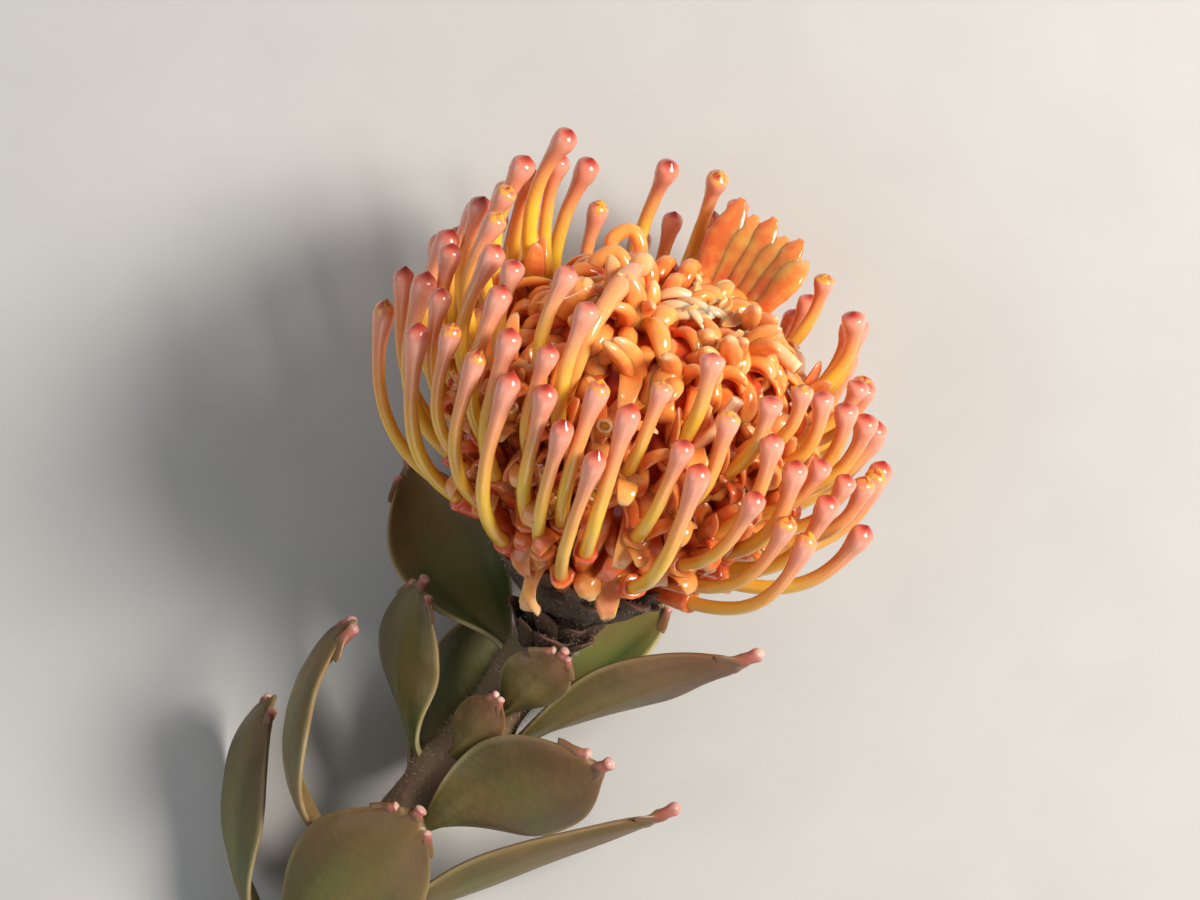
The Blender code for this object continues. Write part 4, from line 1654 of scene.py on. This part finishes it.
@dataclass
class Foliage:
    """The leaves, each a thick leathery blade with callused teeth at its tip."""

    stalk: Stalk
    place: Matrix
    thickness: float = 0.9
    surface_gap: float = 0.3
    base_share: float = 0.24
    tip_share: float = 0.36
    cup: float = 0.22
    bend_steps: int = 12
    turned_by: float = 0.5
    edge_drop: float = 0.10
    notch_depth: float = 0.04
    notch_at: float = 0.36
    notch_width: float = 0.13
    rows: int = 44
    columns: int = 24
    tooth_radius: float = 0.40
    tooth_growth: float = 0.021
    tooth_reach: float = 2.3
    waviness: float = 0.55

    def length_share(self, across: float) -> float:
        """How much of the leaf's length the blade reaches at this share of its half-width."""
        notch = math.exp(-(((abs(across) - self.notch_at) / self.notch_width) ** 2))
        return 1.0 - self.edge_drop * abs(across) ** 1.5 - self.notch_depth * notch

    def sheet(self, leaf: Leaf, share: float, across: float) -> tuple[Vector, Vector]:
        """A point in the middle of the blade's thickness.

        Args:
            leaf: the leaf.
            share: how far along it.
            across: how far across it, from -1 to 1.

        Returns:
            The point, and the way out of the face that looks to the stem.
        """
        along = self.stalk.upward(leaf.down)
        aim = around(math.radians(leaf.around))
        off = (aim - along * aim.dot(along)).normalized()
        grown = share * between((1.0, self.length_share(across)), max(0.0, share) ** 3)
        spot = self.stalk.point(leaf.down) + off * (
            self.stalk.width(leaf.down) + self.surface_gap + self.thickness
        )
        stride = leaf.length * grown / self.bend_steps
        for step in range(self.bend_steps):
            angle = math.radians(leaf.spread + leaf.bend * grown * (step + 0.5) / self.bend_steps)
            spot = spot + (along * math.cos(angle) + off * math.sin(angle)) * stride
        angle = math.radians(leaf.spread + leaf.bend * grown)
        side, face = along.cross(off), along * math.sin(angle) - off * math.cos(angle)
        turn = math.radians(leaf.turn) * math.sin(min(1.0, max(0.0, share) / self.turned_by) * math.pi / 2)
        axis = along * math.cos(angle) + off * math.sin(angle)
        rolled = Matrix.Rotation(turn, 3, axis)
        side, face = rolled @ side, rolled @ face
        shape = between((self.base_share, self.tip_share), share)
        shape += (1 - (self.base_share + self.tip_share) / 2) * math.sin(math.pi * max(0.0, share))
        half = leaf.width / 2 * shape
        slope = 2 * self.cup * across
        tilt = (face - side * slope).normalized()
        return spot + side * across * half + face * self.cup * half * across**2, tilt

    def build(self, number: int, leaf: Leaf, skin_finish: bpy.types.Material,
              callus_and_highlight_finish: bpy.types.Material) -> bpy.types.Object:
        """Makes one leaf.

        Args:
            number: its place in the list, from 1.
            leaf: its size and place.
            skin_finish: the blade's material.
            callus_and_highlight_finish: the teeth's material.

        Returns:
            The leaf.
        """
        skin = Skin()
        rings, edges, tints = [], [], []
        for row in range(self.rows):
            share = between((-0.12, 1.0), row / (self.rows - 1))
            rounded_end = math.sqrt(max(0.0, 1.0 - ease(0.9, 1.0, share) ** 2)) * 0.75 + 0.25
            top, bottom, top_edge = [], [], []
            for column in range(self.columns + 1):
                across = math.sin((column / self.columns - 0.5) * math.pi)
                spot, tilt = self.sheet(leaf, share, across)
                rim = math.sqrt(max(0.0, 1.0 - abs(across) ** 5))
                half = 0.5 * between((0.34, self.thickness + 0.15), rim) * rounded_end
                wave = self.waviness * noise.noise(Vector((share * 3.2, across * 1.3, number * 1.7)))
                wave *= ease(0.05, 0.3, share) * (0.4 + abs(across))
                rib = 0.28 * math.exp(-((across / 0.09) ** 2)) * (1.0 - share)
                vein = 0.05 * math.cos(across * 26.0) * (1.0 - across**2)
                spot = spot + tilt * wave
                top.append(spot + tilt * (half + vein - rib * 0.4))
                bottom.append(spot - tilt * (half + rib))
                top_edge.append(max(abs(across) ** 3, ease(0.93, 1.0, share)))
            rings.append(bottom + top[::-1][1:-1])
            edges.append(top_edge + top_edge[::-1][1:-1])
            tints.append(leaf.brown - 0.32 + 0.62 * ease(0.3, 1.0, share))
        skin.loft(rings, along=0.5, edge=edges, tint=tints)
        knob = Skin()
        for across in leaf.teeth:
            tip, tilt = self.sheet(leaf, 0.985, across)
            back, _ = self.sheet(leaf, 0.90, across)
            ahead = (tip - back).normalized()
            size = 1.0 - 0.22 * abs(across)
            self.tooth(knob, leaf, tip, ahead, tilt, size)
        blade, beads = skin.mesh(f"leaf_{number:02d}_blade"), knob.mesh(f"leaf_{number:02d}_teeth")
        blade.materials.append(skin_finish)
        blade.materials.append(callus_and_highlight_finish)
        return self.join(f"leaf_{number:02d}_blade", blade, beads)

    def tooth(self, skin: Skin, leaf: Leaf, tip: Vector, ahead: Vector, tilt: Vector, size: float) -> None:
        """Adds a tooth: it widens back into the blade, and its end is a rounded callus whose pale tip is a
        painted highlight.

        Args:
            skin: what it's added to.
            leaf: the leaf.
            tip: the edge of the blade there.
            ahead: the way the blade points there.
            tilt: the way out of the blade's face.
            size: its size, beside the other teeth's.
        """
        radius = (self.tooth_radius + self.tooth_growth * leaf.width + 0.12 * leaf.finger) * size
        base = between((1.5, 2.6), ease(1.0, 3.0, leaf.finger))
        line = Line(
            knots=(
                tuple(tip - ahead * self.tooth_reach * 1.4), tuple(tip - ahead * 0.8),
                tuple(tip + ahead * leaf.finger * size + tilt * 0.2 * leaf.finger),
            ),
            widths=(radius, radius), rows=22, sides=14,
        )

        def section(share: float, angle: float) -> tuple[float, float]:
            """How far a point of the ring lies across and up."""
            end = math.sqrt(max(0.0, 1.0 - ease(0.86, 1.0, share) ** 2 * 0.94))
            neck = 1.0 - 0.16 * math.exp(-(((share - 0.74) / 0.09) ** 2))
            wide = between((base, 1.0), ease(0.1, 0.66, share)) * radius
            thick = between((0.30, radius), ease(0.25, 0.72, share))
            return wide * end * neck * math.cos(angle), thick * end * neck * math.sin(angle)

        rings = sweep(line.path(), section, line.sides, tilt)
        skin.loft(rings, along=[row / (line.rows - 1) for row in range(line.rows)], edge=1.0, tint=0.0)

    def join(self, name: str, blade: bpy.types.Mesh, beads: bpy.types.Mesh) -> bpy.types.Object:
        """Makes one piece of a blade and its teeth, the teeth in the blade's second material."""
        skin = Skin()
        for mesh in (blade, beads):
            first = len(skin.points)
            skin.points += [vertex.co.copy() for vertex in mesh.vertices]
            skin.faces += [tuple(first + corner for corner in polygon.vertices) for polygon in mesh.polygons]
            for mark in ("along", "edge", "tint"):
                skin.marks[mark] += [item.value for item in mesh.attributes[mark].data]
        blade_faces = len(blade.polygons)
        finishes = list(blade.materials)
        bpy.data.meshes.remove(blade)
        bpy.data.meshes.remove(beads)
        made = skin.mesh(name)
        for finish in finishes:
            made.materials.append(finish)
        for index, polygon in enumerate(made.polygons):
            polygon.material_index = int(index >= blade_faces)
        made.transform(self.place)
        return show(bpy.data.objects.new(name, made))


# ---------------------------------------------------------------------------------------------
# The studio
# ---------------------------------------------------------------------------------------------


@dataclass
class Studio:
    """A pale floor, soft light and the camera.

    Attributes:
        elevation: how far above the flower's own horizon the camera looks from, in degrees.
        roll: how far the flower leans to the right in the view, in degrees.
        aim: what the camera looks at: right, up and towards it, in millimetres from the flower's origin.
        distance: how far the camera is from there, in millimetres.
        lens: the focal length, in millimetres.
    """

    place: Matrix
    elevation: float = 28.0
    roll: float = 19.0
    aim: tuple[float, float, float] = (3.77, 19.37, 12.7)
    distance: float = 600.0
    lens: float = 138.5

    def axes(self) -> tuple[Vector, Vector, Vector]:
        """The camera's right, up and back, in the flower's upright frame."""
        tilt, lean = math.radians(self.elevation), math.radians(self.roll)
        back = Vector((0.0, -math.cos(tilt), math.sin(tilt)))
        right, up = Vector((1.0, 0.0, 0.0)), Vector((0.0, math.sin(tilt), math.cos(tilt)))
        return (
            right * math.cos(lean) + up * math.sin(lean), up * math.cos(lean) - right * math.sin(lean), back
        )

    def camera(self) -> None:
        """Adds the camera and makes it the scene's."""
        right, up, back = self.axes()
        target = right * self.aim[0] + up * self.aim[1] + back * self.aim[2]
        turn = self.place.to_3x3().normalized()
        frame = (turn @ Matrix((right, up, back)).transposed()).to_4x4()
        data = bpy.data.cameras.new("camera")
        data.lens = self.lens
        data.sensor_width = 36.0
        data.clip_end = 10.0
        camera = show(bpy.data.objects.new("camera", data))
        camera.matrix_world = Matrix.Translation(self.place @ (target + back * self.distance)) @ frame
        bpy.context.scene.camera = camera

    def floor(self) -> bpy.types.Object:
        """Adds the floor that the flower lies on."""
        size = 2.0
        mesh = bpy.data.meshes.new("floor")
        corners = [(-size, -size, 0.0), (size, -size, 0.0), (size, size, 0.0), (-size, size, 0.0)]
        mesh.from_pydata(corners, [], [(0, 1, 2, 3)])
        finish = bpy.data.materials.new("matt_board")
        finish.use_nodes = True
        graph = Graph(finish.node_tree)
        where = graph.add("ShaderNodeTexCoord").outputs["Object"]
        grain = graph.add("ShaderNodeTexNoise", {"Vector": where, "Scale": 60.0, "Detail": 6.0})
        ramp = graph.add("ShaderNodeValToRGB", {0: grain.outputs[0]})
        ramp.color_ramp.elements[0].color = (*tone(190, 188, 184), 1.0)
        ramp.color_ramp.elements[1].color = (*tone(200, 198, 194), 1.0)
        shader = graph.add("ShaderNodeBsdfPrincipled", {"Base Color": ramp.outputs[0], "Roughness": 0.9})
        graph.add("ShaderNodeOutputMaterial", {"Surface": shader.outputs[0]})
        mesh.materials.append(finish)
        return show(bpy.data.objects.new("floor", mesh))

    def light(
        self, name: str, at: tuple[float, float, float], size: float, power: float, shade: Colour
    ) -> None:
        """Adds a square soft light that faces the flower.

        Args:
            name: the light's name.
            at: where it is, in metres.
            size: how wide it is, in metres.
            power: how strong it is, in watts.
            shade: its colour.
        """
        data = bpy.data.lights.new(name, "AREA")
        data.size = size
        data.energy = power
        data.color = shade
        light = show(bpy.data.objects.new(name, data))
        light.location = at
        aim = Vector((0.0, 0.02, 0.03)) - Vector(at)
        light.rotation_euler = aim.to_track_quat("-Z", "Y").to_euler()

    def build(self) -> bpy.types.Object:
        """Adds everything and returns the floor."""
        self.camera()
        self.light("key", (0.42, 0.34, 0.50), 0.24, 7.6, (1.0, 0.96, 0.90))
        self.light("fill", (-0.6, -0.2, 0.6), 0.7, 1.7, (0.90, 0.95, 1.0))
        self.light("low_fill", (0.25, -0.7, 0.35), 0.5, 0.9, (1.0, 0.97, 0.94))
        world = bpy.data.worlds.new("studio")
        world.use_nodes = True
        graph = Graph(world.node_tree)
        glow = graph.add("ShaderNodeBackground", {"Color": (0.80, 0.85, 0.92, 1.0), "Strength": 0.22})
        graph.add("ShaderNodeOutputWorld", {"Surface": glow.outputs[0]})
        bpy.context.scene.world = world
        bpy.context.scene.view_settings.view_transform = "Standard"
        return self.floor()


# ---------------------------------------------------------------------------------------------


@dataclass
class Flower:
    """The whole flower: builds its parts and puts each on the frame."""

    lie: Lie = field(default_factory=Lie)
    head: Head = field(default_factory=Head)
    stalk: Stalk = field(default_factory=Stalk)

    def settle(self, piece: bpy.types.Object, slot: Slot, *nodes: str) -> None:
        """Puts a piece on the frame.

        Args:
            piece: the piece, in its place.
            slot: the record's material slot, which is not used.
            nodes: the frame's nodes that it stands for.
        """
        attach(piece, "root")
        if nodes:
            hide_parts(*nodes)
        log.info("%s: %d faces, stands for %d nodes", piece.name, len(piece.data.polygons), len(nodes))

    def build(self) -> None:
        """Builds every piece."""
        place = self.lie.matrix()
        style_wax, perianth_wax = STYLE_WAX.build(), PERIANTH_WAX.build()
        outer, inner = Styles(self.head, place).build(style_wax)
        self.settle(outer, Slot.STYLE, *(f"style_{number + 1:02d}" for number in range(self.head.separate)))
        self.settle(inner, Slot.STYLE)
        perianths = Perianths(self.head, place)
        self.settle(perianths.core(CORE_WAX_AND_HOLLOW_SHADE.build()), Slot.PERIANTH, "floret_mound")
        self.settle(perianths.packed(perianth_wax), Slot.PERIANTH)
        tubes, crown = FloretTubes(self.head, place), Crown(self.head, place)
        pale_flesh = PALE_FLESH.build()
        self.settle(tubes.build(perianth_wax), Slot.PERIANTH)
        self.settle(tubes.snapped_styles(CUT_RIM.build()), Slot.STYLE)
        self.settle(crown.loops(perianth_wax), Slot.PERIANTH)
        self.settle(crown.fallen_styles(style_wax), Slot.STYLE)
        self.settle(crown.pale_pieces(pale_flesh), Slot.PERIANTH)
        self.settle(crown.membranes(pale_flesh), Slot.PERIANTH)
        self.settle(crown.unopened_tips(PEARL.build()), Slot.PERIANTH)
        bracts, bract_skin = Bracts(self.head, place), BRACT_SKIN.build()
        self.settle(bracts.base(bract_skin), Slot.BRACT, "bract_cup")
        scales = bracts.scales(bract_skin)
        self.settle(scales, Slot.BRACT)
        stem, down = Stem(self.stalk, place), DOWN.build()
        skin = stem.skin(STEM_SKIN.build())
        self.settle(skin, Slot.STEM, "stem")
        self.settle(stem.cut(CUT_WOOD.build()), Slot.STEM)
        self.settle(stem.hairs(skin, "stem_down", down, 1.5, 0.8), Slot.STEM)
        self.settle(stem.hairs(scales, "bract_down", down, 1.2, 0.5), Slot.BRACT)
        foliage = Foliage(self.stalk, place)
        # The teeth's finish has a painted highlight at their pale tips.
        leaf_skin, callus = LEAF_SKIN.build(), CALLUS_AND_HIGHLIGHT.build()
        for number, leaf in enumerate(LEAVES, 1):
            self.settle(foliage.build(number, leaf, leaf_skin, callus), Slot.LEAF, f"leaf_{number:02d}")


def main() -> None:
    """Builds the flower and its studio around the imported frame."""
    logging.basicConfig(level=logging.INFO, format="%(name)s: %(message)s")
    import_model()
    flower = Flower()
    flower.build()
    Studio(flower.lie.matrix()).build()


if __name__ == "__main__":
    main()
